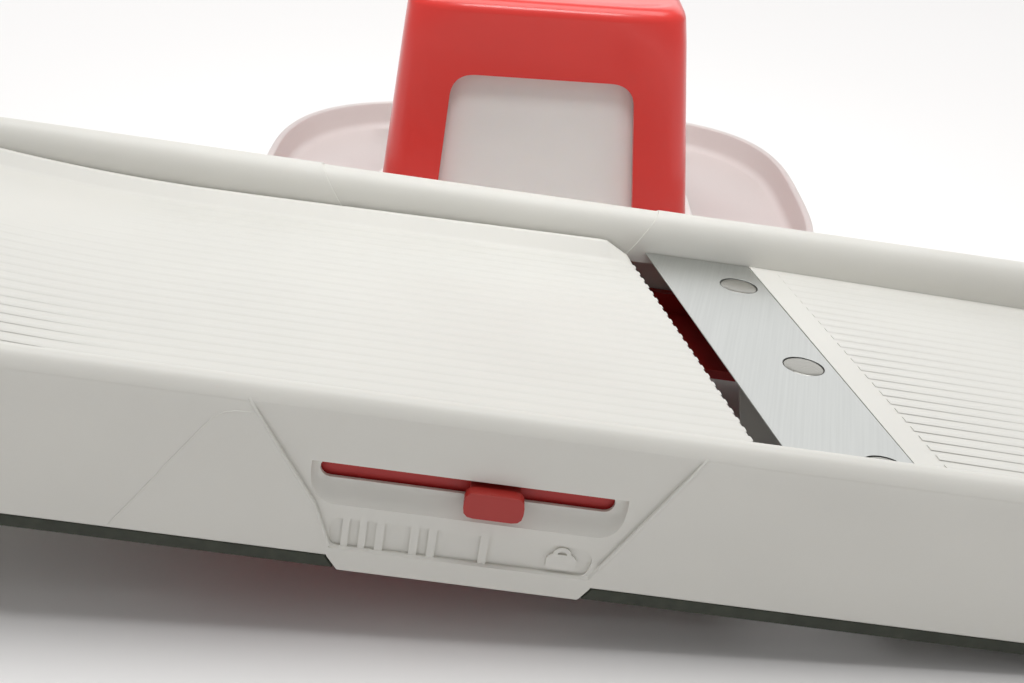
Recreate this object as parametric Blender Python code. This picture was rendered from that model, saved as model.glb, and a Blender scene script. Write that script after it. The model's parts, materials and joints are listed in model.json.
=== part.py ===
"""Adjustable mandoline slicer with a separate food holder.

Two groups are modelled.  The slicer is drawn in its own level frame: X runs along its length
towards the out-feed end, Y across it, Z up from the out-feed deck, which lies at Z = 0.  An empty
then pitches it, because it stands on the soft feet at its out-feed end and on a fold-out stand.
The food holder stands level behind it and has its own empty.

Every dimension below is in millimetres; meshes are written in metres.
"""
import math

import bmesh
import bpy
from mathutils import Matrix, Vector

MM = 0.001
GAP = 0.3                     # air left between pieces that touch

# ---- slicer body ----
LEFT_END = -206.0             # tip of the in-feed end
RIGHT_END = 150.0             # out-feed end
HALF_WIDTH = 56.0
HALF_BED = 48.0               # inner faces of the two rails
RAIL_TOP = 8.2
RAIL_CREST_Y = 52.4            # highest line of each rail
RAIL_ROUND = 7.0               # height of the rounding on both sides of the crest
WALL = 3.0                    # side wall below the rail
WALL_BOTTOM = -19.4
LIP_TOP = -17.3               # inward lip along the foot of each wall
LIP_INNER = 50.5
DECK_THICKNESS = 2.5
DECK_FALL = math.radians(1.0)
END_PLATE_TOP = 7.6
END_PLATE_START = -139.0
END_SKIRT_BOTTOM = -12.0
END_CORNER_RADIUS = 26.0

# ---- blade: a strip whose edges run slightly askew across the bed ----
SKEW = math.tan(math.radians(11.4))
BLADE_FRONT = 51.85           # cutting edge on the centre line
BLADE_WIDTH = 22.5
BLADE_THICKNESS = 0.8
BLADE_HALF_LENGTH = 47.7
BLADE_GRIND = 2.2
RIVET_OFFSET = 16.4           # behind the cutting edge
RIVET_SPACING = 36.9
RIVET_CENTRE_Y = -1.3
RIVET_HEAD_RADIUS = 3.9
RIVET_SHANK_RADIUS = 1.9

# ---- in-feed platform ----
PLATFORM_LEFT = -138.0
PLATFORM_EDGE = 48.2          # edge on the centre line, next to the blade
PLATFORM_HALF_WIDTH = 47.5
PLATFORM_THICKNESS = 2.2
PLATFORM_EDGE_Z = -1.3        # cutting depth at rest
PLATFORM_CURVE_START = -50.0
PLATFORM_CURVE = 0.0013
PIVOT_X = -134.0
PIVOT_Z = 1.5
PIVOT_RADIUS = 2.0

# ---- thickness slider ----
SLOT_LEFT = -15.8
SLOT_RIGHT = 30.4
SLOT_TOP = -3.05
SLOT_BOTTOM = -6.4
KNOB_CENTRE = 11.5
KNOB_WIDTH = 9.4
FOLLOWER_X = -20.0
RAMP_SLOPE = 0.1575
RAMP_REST_Z = -11.2
RAMP_Y = 40.0
WEB_TOP = -15.0
ARM_TOP = -9.8                # top of the side arms
SCREEN_TOP = -3.8             # top of the part that shows through the slot

# ---- thickness panel and its tab, on both side walls ----
TAB_BOTTOM = -21.65
RUBBER_BOTTOM = -21.6

# ---- how the slicer stands ----
PITCH = math.radians(4.6)
CONTACT_X = 148.0             # foot of the out-feed end
STAND_X = -170.0
STAND_Z = -10.5
STAND_FOOT_X = -183.0
LEG_INNER = 43.0
LEG_OUTER = 49.5

# ---- food holder, about its own centre on the table ----
HOLDER_FROM_CONTACT_X = -125.8
HOLDER_FROM_CENTRE_Y = 137.0
GUARD_HALF_X = 72.7
GUARD_HALF_Y = 69.5
GUARD_POWER = 3.2
GUARD_RIM_TOP = 16.0
GUARD_TOP = 9.0
GUARD_BOTTOM = 7.0
GUARD_SEGMENTS = 48
HANDLE_TOP = 67.0
HANDLE_BOTTOM = 12.0
HANDLE_HALF_X = 40.85         # at the bottom edge
HANDLE_TAPER = 0.105          # loss of half length per millimetre of height
HANDLE_HALF_Y = 20.0
CORE_TOP = 60.0

KNOB_FRONT = 57.6


# ================= small helpers =================

def table_z(x):
    """Height of the table under the slicer, in the slicer's frame."""
    return RUBBER_BOTTOM - (CONTACT_X - x) * math.tan(PITCH)


def arc(centre_a, centre_b, radius, start, end, steps):
    """Points on a circular arc; angles in degrees."""
    points = []
    for i in range(steps + 1):
        angle = math.radians(start + (end - start) * i / steps)
        points.append((centre_a + radius * math.cos(angle), centre_b + radius * math.sin(angle)))
    return points


def superellipse(half_x, half_y, power, segments):
    """Closed plan outline between an ellipse and a rectangle."""
    points = []
    for i in range(segments):
        angle = 2 * math.pi * i / segments
        c = math.cos(angle)
        s = math.sin(angle)
        points.append((half_x * math.copysign(abs(c) ** (2 / power), c),
                       half_y * math.copysign(abs(s) ** (2 / power), s)))
    return points


def place(axis, a, b, along):
    """Point from two coordinates of an outline and one along the extrusion axis."""
    if axis == "X":
        return Vector((along, a, b)) * MM
    if axis == "Y":
        return Vector((a, along, b)) * MM
    return Vector((a, b, along)) * MM


def extrude(outline, axis, low, high):
    """Prism with the outline in the two other axes, in X, Y, Z order."""
    bm = bmesh.new()
    bottom = [bm.verts.new(place(axis, a, b, low)) for a, b in outline]
    top = [bm.verts.new(place(axis, a, b, high)) for a, b in outline]
    bm.faces.new(bottom)
    bm.faces.new(list(reversed(top)))
    count = len(outline)
    for i in range(count):
        j = (i + 1) % count
        bm.faces.new((bottom[j], bottom[i], top[i], top[j]))
    bmesh.ops.recalc_face_normals(bm, faces=bm.faces)
    return bm


def box(x0, x1, y0, y1, z0, z1):
    """Rectangular block."""
    return extrude([(x0, y0), (x1, y0), (x1, y1), (x0, y1)], "Z", z0, z1)


def cylinder(axis, a, b, radius, low, high, segments=24):
    """Round bar along an axis, its centre given in the two other axes."""
    return extrude(arc(a, b, radius, 0, 360 * (segments - 1) / segments, segments - 1), axis, low, high)


def loft(rings, closed):
    """Skin of quads through rings of points; a closed loft joins its last ring to its first."""
    bm = bmesh.new()
    loops = [[bm.verts.new(Vector(p) * MM) for p in ring] for ring in rings]
    pairs = list(zip(loops, loops[1:]))
    if closed:
        pairs.append((loops[-1], loops[0]))
    for first, second in pairs:
        count = len(first)
        for i in range(count):
            j = (i + 1) % count
            bm.faces.new((first[i], first[j], second[j], second[i]))
    if not closed:
        bm.faces.new(list(reversed(loops[0])))
        bm.faces.new(loops[-1])
    bmesh.ops.recalc_face_normals(bm, faces=bm.faces)
    return bm


def to_object(name, bm):
    """Mesh object holding the shape."""
    mesh = bpy.data.meshes.new(name)
    bm.to_mesh(mesh)
    bm.free()
    obj = bpy.data.objects.new(name, mesh)
    bpy.context.scene.collection.objects.link(obj)
    return obj


def assemble(name, base, join=(), trim=(), cut=()):
    """One solid: the base joined to some shapes, kept inside others and cut by the rest."""
    obj = to_object(name, base)
    tools = []
    for operation, shapes in (("UNION", join), ("INTERSECT", trim), ("DIFFERENCE", cut)):
        for shape in shapes:
            tool = to_object(name + "_tool", shape)
            tool.hide_render = True
            tool.display_type = "WIRE"
            modifier = obj.modifiers.new(operation.title(), "BOOLEAN")
            modifier.operation = operation
            modifier.solver = "EXACT"
            modifier.object = tool
            tools.append(tool)
    depsgraph = bpy.context.evaluated_depsgraph_get()
    mesh = bpy.data.meshes.new_from_object(obj.evaluated_get(depsgraph))
    obj.modifiers.clear()
    obj.data = mesh
    mesh.name = name
    for tool in tools:
        bpy.data.objects.remove(tool, do_unlink=True)
    return obj


def material(name, colour, roughness, metallic=0.0, alpha=1.0):
    """Principled material."""
    mat = bpy.data.materials.new(name)
    mat.use_nodes = True
    shader = mat.node_tree.nodes["Principled BSDF"]
    shader.inputs["Base Color"].default_value = (*colour, 1.0)
    shader.inputs["Roughness"].default_value = roughness
    shader.inputs["Metallic"].default_value = metallic
    shader.inputs["Alpha"].default_value = alpha
    return mat


def finish(obj, mat, parent, origin=(0.0, 0.0, 0.0), smooth_angle=35):
    """Give the piece its material, its parent, and its origin at a point of that parent's frame."""
    offset = Vector(origin) * MM
    obj.data.transform(Matrix.Translation(-offset))
    obj.location = offset
    obj.parent = parent
    obj.data.materials.clear()
    obj.data.materials.append(mat)
    obj.data.shade_smooth()
    obj.data.set_sharp_from_angle(angle=math.radians(smooth_angle))
    return obj


# ================= slicer body =================

def wall_outline(side):
    """Cross-section of one side wall and its rail, as (y, z)."""
    points = [(HALF_WIDTH, WALL_BOTTOM)]
    for step in range(15):
        angle = math.pi * step / 14
        reach = HALF_WIDTH - RAIL_CREST_Y if step < 7 else RAIL_CREST_Y - HALF_BED
        points.append((RAIL_CREST_Y + reach * math.cos(angle),
                       RAIL_TOP - RAIL_ROUND + RAIL_ROUND * math.sin(angle)))
    points += [(HALF_BED, -DECK_THICKNESS), (HALF_WIDTH - WALL, -3.5), (HALF_WIDTH - WALL, LIP_TOP),
               (LIP_INNER, LIP_TOP), (LIP_INNER, WALL_BOTTOM)]
    return [(side * y, z) for y, z in points]


def skewed_plate(x0, x1, half_y, z0, z1, square_right=False):
    """Plate whose left edge, and right edge too unless square, run parallel to the blade."""
    lean = SKEW * half_y
    right_lean = 0.0 if square_right else lean
    outline = [(x0 + lean, -half_y), (x1 + right_lean, -half_y),
               (x1 - right_lean, half_y), (x0 - lean, half_y)]
    return extrude(outline, "Z", z0, z1)


def deck():
    """Out-feed deck, falling gently away from the blade."""
    start = BLADE_FRONT + BLADE_WIDTH + GAP
    bm = skewed_plate(start, RIGHT_END - 1.0, HALF_BED + 1.0, -DECK_THICKNESS, 0.0, square_right=True)
    for vert in bm.verts:
        vert.co.z -= max(0.0, vert.co.x - start * MM) * math.tan(DECK_FALL)
    return bm


def plan_outline(inset, x1, flare=0.0):
    """Plan of the in-feed end, with its two rounded corners, drawn in from the outside by an inset."""
    half_y = HALF_WIDTH - inset
    radius = END_CORNER_RADIUS - inset
    centre_x = LEFT_END + END_CORNER_RADIUS
    centre_y = HALF_WIDTH - END_CORNER_RADIUS
    points = [(x1, -half_y - flare), (x1, half_y + flare)]
    points += arc(centre_x, centre_y, radius, 90, 180, 8)
    points += arc(centre_x, -centre_y, radius, 180, 270, 8)
    return points


def tab(side):
    """Tongue at the foot of the thickness panel, between two soft strips."""
    outline = [(-13.4, WALL_BOTTOM + 1.0), (-13.2, WALL_BOTTOM), (-11.4, TAB_BOTTOM),
               (27.1, TAB_BOTTOM), (28.7, WALL_BOTTOM), (28.9, WALL_BOTTOM + 1.0)]
    low, high = sorted((side * (HALF_WIDTH - WALL + 0.2), side * (HALF_WIDTH - 0.05)))
    return extrude(outline, "Y", low, high)


def panel_recess(side):
    """Shallow trapezoid cut in the outside of a side wall."""
    outline = [(-12.4, -17.4), (28.1, -17.4), (29.3, -15.6), (43.1, 6.6), (-28.0, 7.2), (-15.8, -10.2)]
    low, high = sorted((side * (HALF_WIDTH - 0.5), side * (HALF_WIDTH + 1.0)))
    return extrude(outline, "Y", low, high)


def finger_trough():
    """Scoop under the slot, for the finger that moves the knob."""
    deep = -(HALF_WIDTH - WALL + 0.7)
    outline = [(-HALF_WIDTH - 1.0, SLOT_TOP), (deep, SLOT_TOP), (deep, -6.8), (-54.1, -7.9),
               (-54.8, -9.1), (-55.5, -10.3), (-HALF_WIDTH - 1.0, -11.0)]
    return extrude(outline, "X", SLOT_LEFT - 1.1, SLOT_RIGHT + 1.7)


def rivet_points():
    """Plan positions of the three blade rivets, from far to near."""
    for step in (1, 0, -1):
        y = RIVET_CENTRE_Y + step * RIVET_SPACING
        yield BLADE_FRONT + RIVET_OFFSET - SKEW * y, y


def build_body(mat, parent):
    """Rails, out-feed deck, blade bridge and in-feed end: one moulding."""
    bridge = skewed_plate(BLADE_FRONT + 3.0, BLADE_FRONT + BLADE_WIDTH + 6.0, HALF_BED + 1.5,
                          -3.4, -BLADE_THICKNESS - GAP)
    rib = extrude([(56.5, -2.0), (60.0, -16.5), (108.0, -16.5), (116.0, -2.0)], "Y", -2.9, -0.4)
    end_wall = box(147.2, RIGHT_END, -53.4, 53.4, -17.5, -1.6)
    end_block = box(LEFT_END - 1.0, END_PLATE_START, -53.2, 53.2, END_SKIRT_BOTTOM, END_PLATE_TOP)
    pocket = extrude(plan_outline(3.3, END_PLATE_START + 1.0), "Z", END_SKIRT_BOTTOM - 1.0, 4.4)
    end_block = to_bmesh(assemble("end_block", end_block, cut=[pocket]))
    brace = box(-78.0, -68.0, -52.0, 52.0, WALL_BOTTOM + 0.2, LIP_TOP - 0.3)
    outside = extrude(plan_outline(0.0, RIGHT_END + 2.0, flare=2.0), "Z", -30.0, 20.0)
    hang_hole = extrude(arc(-188.0, 12.0, 7.0, 0, 180, 8) + arc(-188.0, -12.0, 7.0, 180, 360, 8),
                        "Z", 2.0, 12.0)
    cuts = [panel_recess(-1), panel_recess(1), finger_trough(), hang_hole]
    cuts.append(box(SLOT_LEFT, SLOT_RIGHT, -HALF_WIDTH - 1.0, -HALF_WIDTH + WALL + 1.0,
                    SLOT_BOTTOM, SLOT_TOP))
    for x, y in rivet_points():
        cuts.append(cylinder("Z", x, y, RIVET_SHANK_RADIUS + 0.2, -5.0, 0.0, 16))
    cuts.append(cylinder("Y", PIVOT_X, PIVOT_Z, PIVOT_RADIUS + 0.15, -52.5, 52.5))
    cuts.append(cylinder("Y", STAND_X, STAND_Z, 2.15, -58.0, 58.0))
    for notch in (-17.0, -7.5, 2.0, 14.5):
        cuts.append(box(notch - 1.0, notch + 1.0, -51.3, -50.0, -20.0, LIP_TOP + 1.0))
    body = assemble("slicer_body", extrude(wall_outline(-1), "X", LEFT_END, RIGHT_END),
                    join=[extrude(wall_outline(1), "X", LEFT_END, RIGHT_END), deck(), bridge, rib,
                          end_wall, end_block, brace, tab(-1), tab(1)],
                    trim=[outside], cut=cuts)
    return finish(body, mat, parent)


def to_bmesh(obj):
    """Shape of an object that is no longer needed."""
    bm = bmesh.new()
    bm.from_mesh(obj.data)
    bpy.data.objects.remove(obj, do_unlink=True)
    return bm


# ================= platform =================

def platform_surface(x):
    """Height of the platform's bed: almost flat, then sweeping up to the in-feed end."""
    rise = max(0.0, PLATFORM_CURVE_START - x)
    return PLATFORM_EDGE_Z + (x - PLATFORM_EDGE) * 0.004 + PLATFORM_CURVE * rise * rise


def side_lip(x, edge_x):
    """Height of the platform's raised side lips above its bed."""
    if x < -95.0:
        return 0.4 + 2.2 * (x - PLATFORM_LEFT) / (-95.0 - PLATFORM_LEFT)
    if x > edge_x - 5.5:
        return 3.3 - 3.0 * (x - (edge_x - 5.5)) / 5.5
    return 2.6 + 0.7 * min(1.0, max(0.0, (x + 40.0) / 75.0))


def platform_skin():
    """The bed, its lips and its underside, swept from the in-feed end to the blade."""
    stations = [-138.0, -126.0, -114.0, -104.0, -95.0, -84.0, -72.0, -60.0, -50.0, -20.0, 10.0, 30.0]
    fractions = [(x - PLATFORM_LEFT) / (PLATFORM_EDGE - PLATFORM_LEFT) for x in stations]
    fractions += [1.0 - 5.5 / (PLATFORM_EDGE - PLATFORM_LEFT), 1.0]
    half = PLATFORM_HALF_WIDTH
    lip_profile = [(half, 0.0, 0.85), (half - 0.4, 0.0, 1.0), (half - 1.2, 0.0, 1.0), (half - 4.5, 0.0, 0.0)]
    rings = []
    for fraction in fractions:
        ring = []
        half_points = [(half, -PLATFORM_THICKNESS, 0.0)] + lip_profile
        mirrored = [(-y, drop, lift) for y, drop, lift in reversed(half_points)]
        for y, drop, lift in half_points + mirrored:
            edge_x = PLATFORM_EDGE - SKEW * y
            x = PLATFORM_LEFT + fraction * (edge_x - PLATFORM_LEFT)
            z = platform_surface(x) + drop + lift * side_lip(x, edge_x)
            ring.append((x, y, z))
        rings.append(ring)
    return loft(rings, closed=False)


def build_platform(mat, parent):
    """In-feed platform: it tilts about the rod at its left end."""
    tongue_half = 33.65
    tongue_centre = -13.65
    lean = SKEW * tongue_half
    shift = -SKEW * tongue_centre
    tongue = extrude([(PLATFORM_EDGE - 4.0 + shift + lean, tongue_centre - tongue_half),
                      (PLATFORM_EDGE + 2.25 + shift + lean, tongue_centre - tongue_half),
                      (PLATFORM_EDGE + 2.25 + shift - lean, tongue_centre + tongue_half),
                      (PLATFORM_EDGE - 4.0 + shift - lean, tongue_centre + tongue_half - 2.0)],
                     "Z", -4.6, -3.0)
    extras = [tongue]
    for y in (-30.0, 30.0):
        extras.append(box(-62.0, 33.0, y - 1.0, y + 1.0, -6.5, -2.9))
        extras.append(extrude(lug_outline(), "Y", y - 2.5, y + 2.5))
    extras.append(extrude(lug_outline(), "Y", -2.5, 2.5))
    foot = RAMP_REST_Z + 0.4
    for y in (-RAMP_Y, RAMP_Y):
        outline = [(FOLLOWER_X - 5.0, -2.8), (FOLLOWER_X - 1.5, foot),
                   (FOLLOWER_X + 1.5, foot), (FOLLOWER_X + 5.0, -2.8)]
        extras.append(extrude(outline, "Y", y - 1.5, y + 1.5))
    bore = cylinder("Y", PIVOT_X, PIVOT_Z, PIVOT_RADIUS + 0.15, -60.0, 60.0)
    platform = assemble("infeed_platform", platform_skin(), join=extras, cut=[bore])
    finish(platform, mat, parent, origin=(PIVOT_X, 0.0, PIVOT_Z))
    rod = to_object("platform_pivot_rod", cylinder("Y", PIVOT_X, PIVOT_Z, PIVOT_RADIUS, -52.2, 52.2))
    return platform, rod


def lug_outline():
    """Side view of a hinge lug round the pivot rod."""
    under = 6.0
    return [(PIVOT_X - 3.8, under)] + arc(PIVOT_X, PIVOT_Z, 3.8, 180, 360, 8) + [(PIVOT_X + 3.8, under - 1.0)]


# ================= blade and rivets =================

def build_blade(steel, rivet_steel, parent):
    """Blade strip with a ground underside, and three rivets through it."""
    front = BLADE_FRONT
    back = BLADE_FRONT + BLADE_WIDTH
    profile = [(front, -0.1), (front, 0.0), (back, 0.0), (back, -BLADE_THICKNESS),
               (front + BLADE_GRIND, -BLADE_THICKNESS)]
    rings = []
    for y in (-BLADE_HALF_LENGTH, BLADE_HALF_LENGTH):
        rings.append([(x - SKEW * y, y, z) for x, z in profile])
    holes = [cylinder("Z", x, y, RIVET_SHANK_RADIUS + 0.2, -2.0, 1.0, 16) for x, y in rivet_points()]
    finish(assemble("blade", loft(rings, closed=False), cut=holes), steel, parent)
    for place_name, (x, y) in zip(("far", "mid", "near"), rivet_points()):
        head = cylinder("Z", x, y, RIVET_HEAD_RADIUS, GAP, GAP + 0.5)
        shank = cylinder("Z", x, y, RIVET_SHANK_RADIUS, -4.0, GAP + 0.2, 16)
        rivet = assemble("blade_rivet_" + place_name, head, join=[shank])
        finish(rivet, rivet_steel, parent)


# ================= thickness slider =================

def build_slider(red, steel, parent):
    """Red carriage that slides between the walls, its knob and its click spring."""
    side = HALF_WIDTH - WALL - 0.4
    web = box(-38.0, 20.0, -50.9, 50.9, WEB_TOP - 1.9, WEB_TOP)
    parts = [box(19.0, 62.0, 22.5, 50.9, WEB_TOP - 0.9, WEB_TOP + 1.0)]
    arm = [(-38.0, -16.8), (21.0, -16.8), (23.5, -14.3), (66.0, -14.3), (66.0, ARM_TOP)]
    screen = [(57.0, ARM_TOP), (55.0, SCREEN_TOP), (-37.5, SCREEN_TOP)]
    for sign, top in ((-1, screen), (1, [(-38.0, ARM_TOP)])):
        low, high = sorted((sign * (side - 2.3), sign * side))
        parts.append(extrude(arm + top, "Y", low, high))
        high_x = FOLLOWER_X - 15.5
        low_x = FOLLOWER_X + 23.5
        ramp = [(high_x - 1.0, WEB_TOP - 0.5), (high_x - 1.0, RAMP_REST_Z + 15.5 * RAMP_SLOPE),
                (high_x, RAMP_REST_Z + 15.5 * RAMP_SLOPE), (low_x, RAMP_REST_Z - 23.5 * RAMP_SLOPE),
                (low_x, WEB_TOP - 0.5)]
        parts.append(extrude(ramp, "Y", sign * RAMP_Y - 3.0, sign * RAMP_Y + 3.0))
    carriage = assemble("slider_carriage", web, join=parts)
    finish(carriage, red, parent, origin=(KNOB_CENTRE, 0.0, WEB_TOP))
    knob_outline = [(-52.9, -3.5), (-52.9, -5.4), (-54.6, -5.4), (-55.3, -8.2), (-56.2, -8.5),
                    (-KNOB_FRONT, -7.6), (-KNOB_FRONT, -4.4), (-56.8, -3.5)]
    knob = to_object("slider_knob", extrude(knob_outline, "X", KNOB_CENTRE - KNOB_WIDTH / 2,
                                            KNOB_CENTRE + KNOB_WIDTH / 2))
    finish(knob, red, parent, origin=(KNOB_CENTRE, 0.0, WEB_TOP))
    leaf = [(-12.0, -47.5), (-3.0, -47.5), (2.0, -50.0), (7.0, -47.5), (16.0, -47.5),
            (16.0, -47.1), (6.8, -47.1), (2.0, -49.5), (-2.8, -47.1), (-12.0, -47.1)]
    spring = to_object("detent_spring", extrude(leaf, "Z", -19.0, -17.3))
    finish(spring, steel, parent, origin=(KNOB_CENTRE, 0.0, WEB_TOP))


# ================= soft strips, feet and stand =================

def build_strips(rubber, parent):
    """Soft strips along the foot of each wall, and the two out-feed feet."""
    top = WALL_BOTTOM - GAP
    outlines = {"infeed": [(-160.0, top), (-160.0, RUBBER_BOTTOM), (-12.0, RUBBER_BOTTOM), (-13.6, top)],
                "outfeed": [(29.1, top), (27.6, RUBBER_BOTTOM), (126.0, RUBBER_BOTTOM), (126.0, top)]}
    foot = [(128.0, top), (CONTACT_X, top), (CONTACT_X, RUBBER_BOTTOM), (128.0, table_z(128.0))]
    for side_name, side in (("near", -1), ("far", 1)):
        low, high = sorted((side * 51.0, side * 55.6))
        for end_name, outline in outlines.items():
            name = "rubber_strip_" + side_name + "_" + end_name
            finish(to_object(name, extrude(outline, "Y", low, high)), rubber, parent)
        finish(to_object("outfeed_foot_" + side_name, extrude(foot, "Y", low, high)), rubber, parent)


def leg_outline():
    """Side view of a stand leg, from its pin down to its soft foot."""
    foot_z = table_z(STAND_FOOT_X) + 3.2
    angle = math.degrees(math.atan2(foot_z - STAND_Z, STAND_FOOT_X - STAND_X))
    points = arc(STAND_X, STAND_Z, 4.4, angle + 90, angle + 270, 10)
    points += [(STAND_FOOT_X - 3.8, foot_z), (STAND_FOOT_X + 3.4, foot_z)]
    return points


def build_stand(plastic, steel, rubber, parent):
    """U-shaped stand that folds up under the in-feed end, on two pins."""
    hinge = (STAND_X, 0.0, STAND_Z)
    foot_top = table_z(STAND_FOOT_X) + 2.9
    crossbar = box(STAND_FOOT_X - 1.5, STAND_FOOT_X + 4.0, -LEG_INNER - 1.0, LEG_INNER + 1.0,
                   foot_top + 4.0, foot_top + 10.0)
    legs = [extrude(leg_outline(), "Y", -LEG_OUTER, -LEG_INNER), extrude(leg_outline(), "Y", LEG_INNER, LEG_OUTER)]
    bore = cylinder("Y", STAND_X, STAND_Z, 2.15, -60.0, 60.0)
    stand = assemble("stand_leg", crossbar, join=legs, cut=[bore])
    finish(stand, plastic, parent, origin=hinge)
    left = STAND_FOOT_X - 4.6
    right = STAND_FOOT_X + 4.2
    pad = [(left, foot_top), (left, table_z(left)), (right, table_z(right)), (right, foot_top)]
    for side_name, side in (("near", -1), ("far", 1)):
        low, high = sorted((side * (LEG_INNER - 0.6), side * (LEG_OUTER + 0.4)))
        finish(to_object("stand_foot_" + side_name, extrude(pad, "Y", low, high)), rubber, parent,
               origin=hinge)
        low, high = sorted((side * (LEG_INNER - 1.0), side * (HALF_WIDTH - 0.4)))
        finish(to_object("stand_pin_" + side_name, cylinder("Y", STAND_X, STAND_Z, 2.0, low, high)),
               steel, parent)


# ================= food holder =================

def ring_at(outline, z):
    """Plan outline lifted to a height."""
    return [(x, y, z) for x, y in outline]


def build_guard(mat, parent):
    """Clear guard with an upturned rim, on two flanges that ride outside the slicer's rails."""
    profile = [(0.930, GUARD_BOTTOM), (0.965, 7.6), (0.985, 10.0), (1.0, GUARD_RIM_TOP),
               (0.972, GUARD_RIM_TOP), (0.955, 10.5), (0.930, GUARD_TOP)]
    rings = []
    for scale, z in profile:
        rings.append(ring_at(superellipse(GUARD_HALF_X * scale, GUARD_HALF_Y * scale, GUARD_POWER,
                                          GUARD_SEGMENTS), z))
    opening = superellipse(33.5, 13.0, 6.0, GUARD_SEGMENTS)
    rings.append(ring_at(opening, GUARD_TOP))
    rings.append(ring_at(opening, GUARD_BOTTOM))
    flanges = [box(-48.0, 48.0, 57.3, 60.0, 0.0, 7.4), box(-48.0, 48.0, -60.0, -57.3, 0.0, 7.4)]
    finish(assemble("guard_plate", loft(rings, closed=True), join=flanges), mat, parent)


def core_half(z):
    """Half length and half width of the core's outside at a height."""
    return 37.0 - HANDLE_TAPER * (z - 11.3), 16.0 - 0.02 * (z - 11.3)


def build_core(mat, parent):
    """White chimney that guides the food and carries the handle."""
    flange_top = GUARD_TOP + GAP + 2.0
    wall = 2.2
    base = core_half(flange_top)
    top = core_half(CORE_TOP)
    inner_top = CORE_TOP - 2.5
    inner = core_half(inner_top)
    segments = 32
    stem_hole = superellipse(5.3, 5.3, 2.0, segments)
    rings = [ring_at(superellipse(43.0, 21.0, 5.0, segments), GUARD_TOP + GAP),
             ring_at(superellipse(43.0, 21.0, 5.0, segments), flange_top),
             ring_at(superellipse(base[0], base[1], 7.0, segments), flange_top + 0.5),
             ring_at(superellipse(top[0], top[1], 7.0, segments), CORE_TOP),
             ring_at(stem_hole, CORE_TOP),
             ring_at(stem_hole, inner_top),
             ring_at(superellipse(inner[0] - wall, inner[1] - wall, 7.0, segments), inner_top),
             ring_at(superellipse(base[0] - wall, base[1] - wall, 7.0, segments), GUARD_TOP + GAP)]
    finish(to_object("holder_core", loft(rings, closed=True)), mat, parent)


def handle_half(z):
    """Half length and half width of the handle cap's outside at a height."""
    return HANDLE_HALF_X - HANDLE_TAPER * (z - HANDLE_BOTTOM), HANDLE_HALF_Y - 0.02 * (z - HANDLE_BOTTOM)


def arch_outline():
    """Window in the handle cap's broad faces: an arch with rounded upper corners."""
    corner = 5.5
    top = 48.0
    low_half = 26.4
    top_half = 22.8
    points = [(-low_half, HANDLE_BOTTOM - 2.0), (low_half, HANDLE_BOTTOM - 2.0)]
    points += arc(top_half - corner, top - corner, corner, 0, 90, 5)
    points += arc(-top_half + corner, top - corner, corner, 90, 180, 5)
    return points


def build_handle(mat, parent):
    """Red handle cap: a tapered saddle over the core, open at both broad faces."""
    segments = 40
    rings = []
    for z, inset in ((HANDLE_BOTTOM, 0.0), (63.2, 0.0), (65.2, 0.7), (66.6, 2.2), (HANDLE_TOP, 4.0)):
        half_x, half_y = handle_half(z)
        rings.append(ring_at(superellipse(half_x - inset, half_y - inset, 6.0, segments), z))
    shell = loft(rings, closed=False)
    low = core_half(HANDLE_BOTTOM - 1.0)
    high = core_half(CORE_TOP + 0.6)
    hollow = loft([ring_at(superellipse(low[0] + 0.6, low[1] + 0.6, 7.0, segments), HANDLE_BOTTOM - 1.0),
                   ring_at(superellipse(high[0] + 0.6, high[1] + 0.6, 7.0, segments), CORE_TOP + 0.6)],
                  closed=False)
    windows = [extrude(arch_outline(), "Y", -25.0, -10.0), extrude(arch_outline(), "Y", 10.0, 25.0)]
    finish(assemble("handle_cap", shell, cut=[hollow] + windows), mat, parent)


def build_plunger(white, steel, parent):
    """Stem, pusher plate, its screw and the prongs that hold the food."""
    plate_bottom = 8.3
    plate_top = 10.8
    screw_clear = 1.9
    plate = extrude(superellipse(31.0, 12.4, 6.0, 28), "Z", plate_bottom, plate_top)
    hole = cylinder("Z", 0.0, 0.0, screw_clear, 0.0, 20.0, 16)
    finish(assemble("pusher_plate", plate, cut=[hole]), white, parent)
    stem = cylinder("Z", 0.0, 0.0, 5.0, plate_top + GAP, CORE_TOP + 0.3)
    socket = cylinder("Z", 0.0, 0.0, screw_clear, 0.0, 24.0, 16)
    finish(assemble("plunger_stem", stem, cut=[socket]), white, parent)
    head = cylinder("Z", 0.0, 0.0, 3.4, 6.2, plate_bottom - GAP, 16)
    shank = cylinder("Z", 0.0, 0.0, 1.6, 7.0, 20.0, 12)
    finish(assemble("pusher_screw", head, join=[shank]), steel, parent)
    number = 0
    for x in (-22.0, 0.0, 22.0):
        for y in (-8.0, 8.0):
            number += 1
            rings = [ring_at(arc(x, y, radius, 0, 315, 7), z)
                     for radius, z in ((0.2, 1.2), (0.9, 3.2), (0.9, plate_bottom - GAP))]
            finish(to_object("prong_" + str(number), loft(rings, closed=False)), steel, parent)


# ================= the whole object =================

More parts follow.
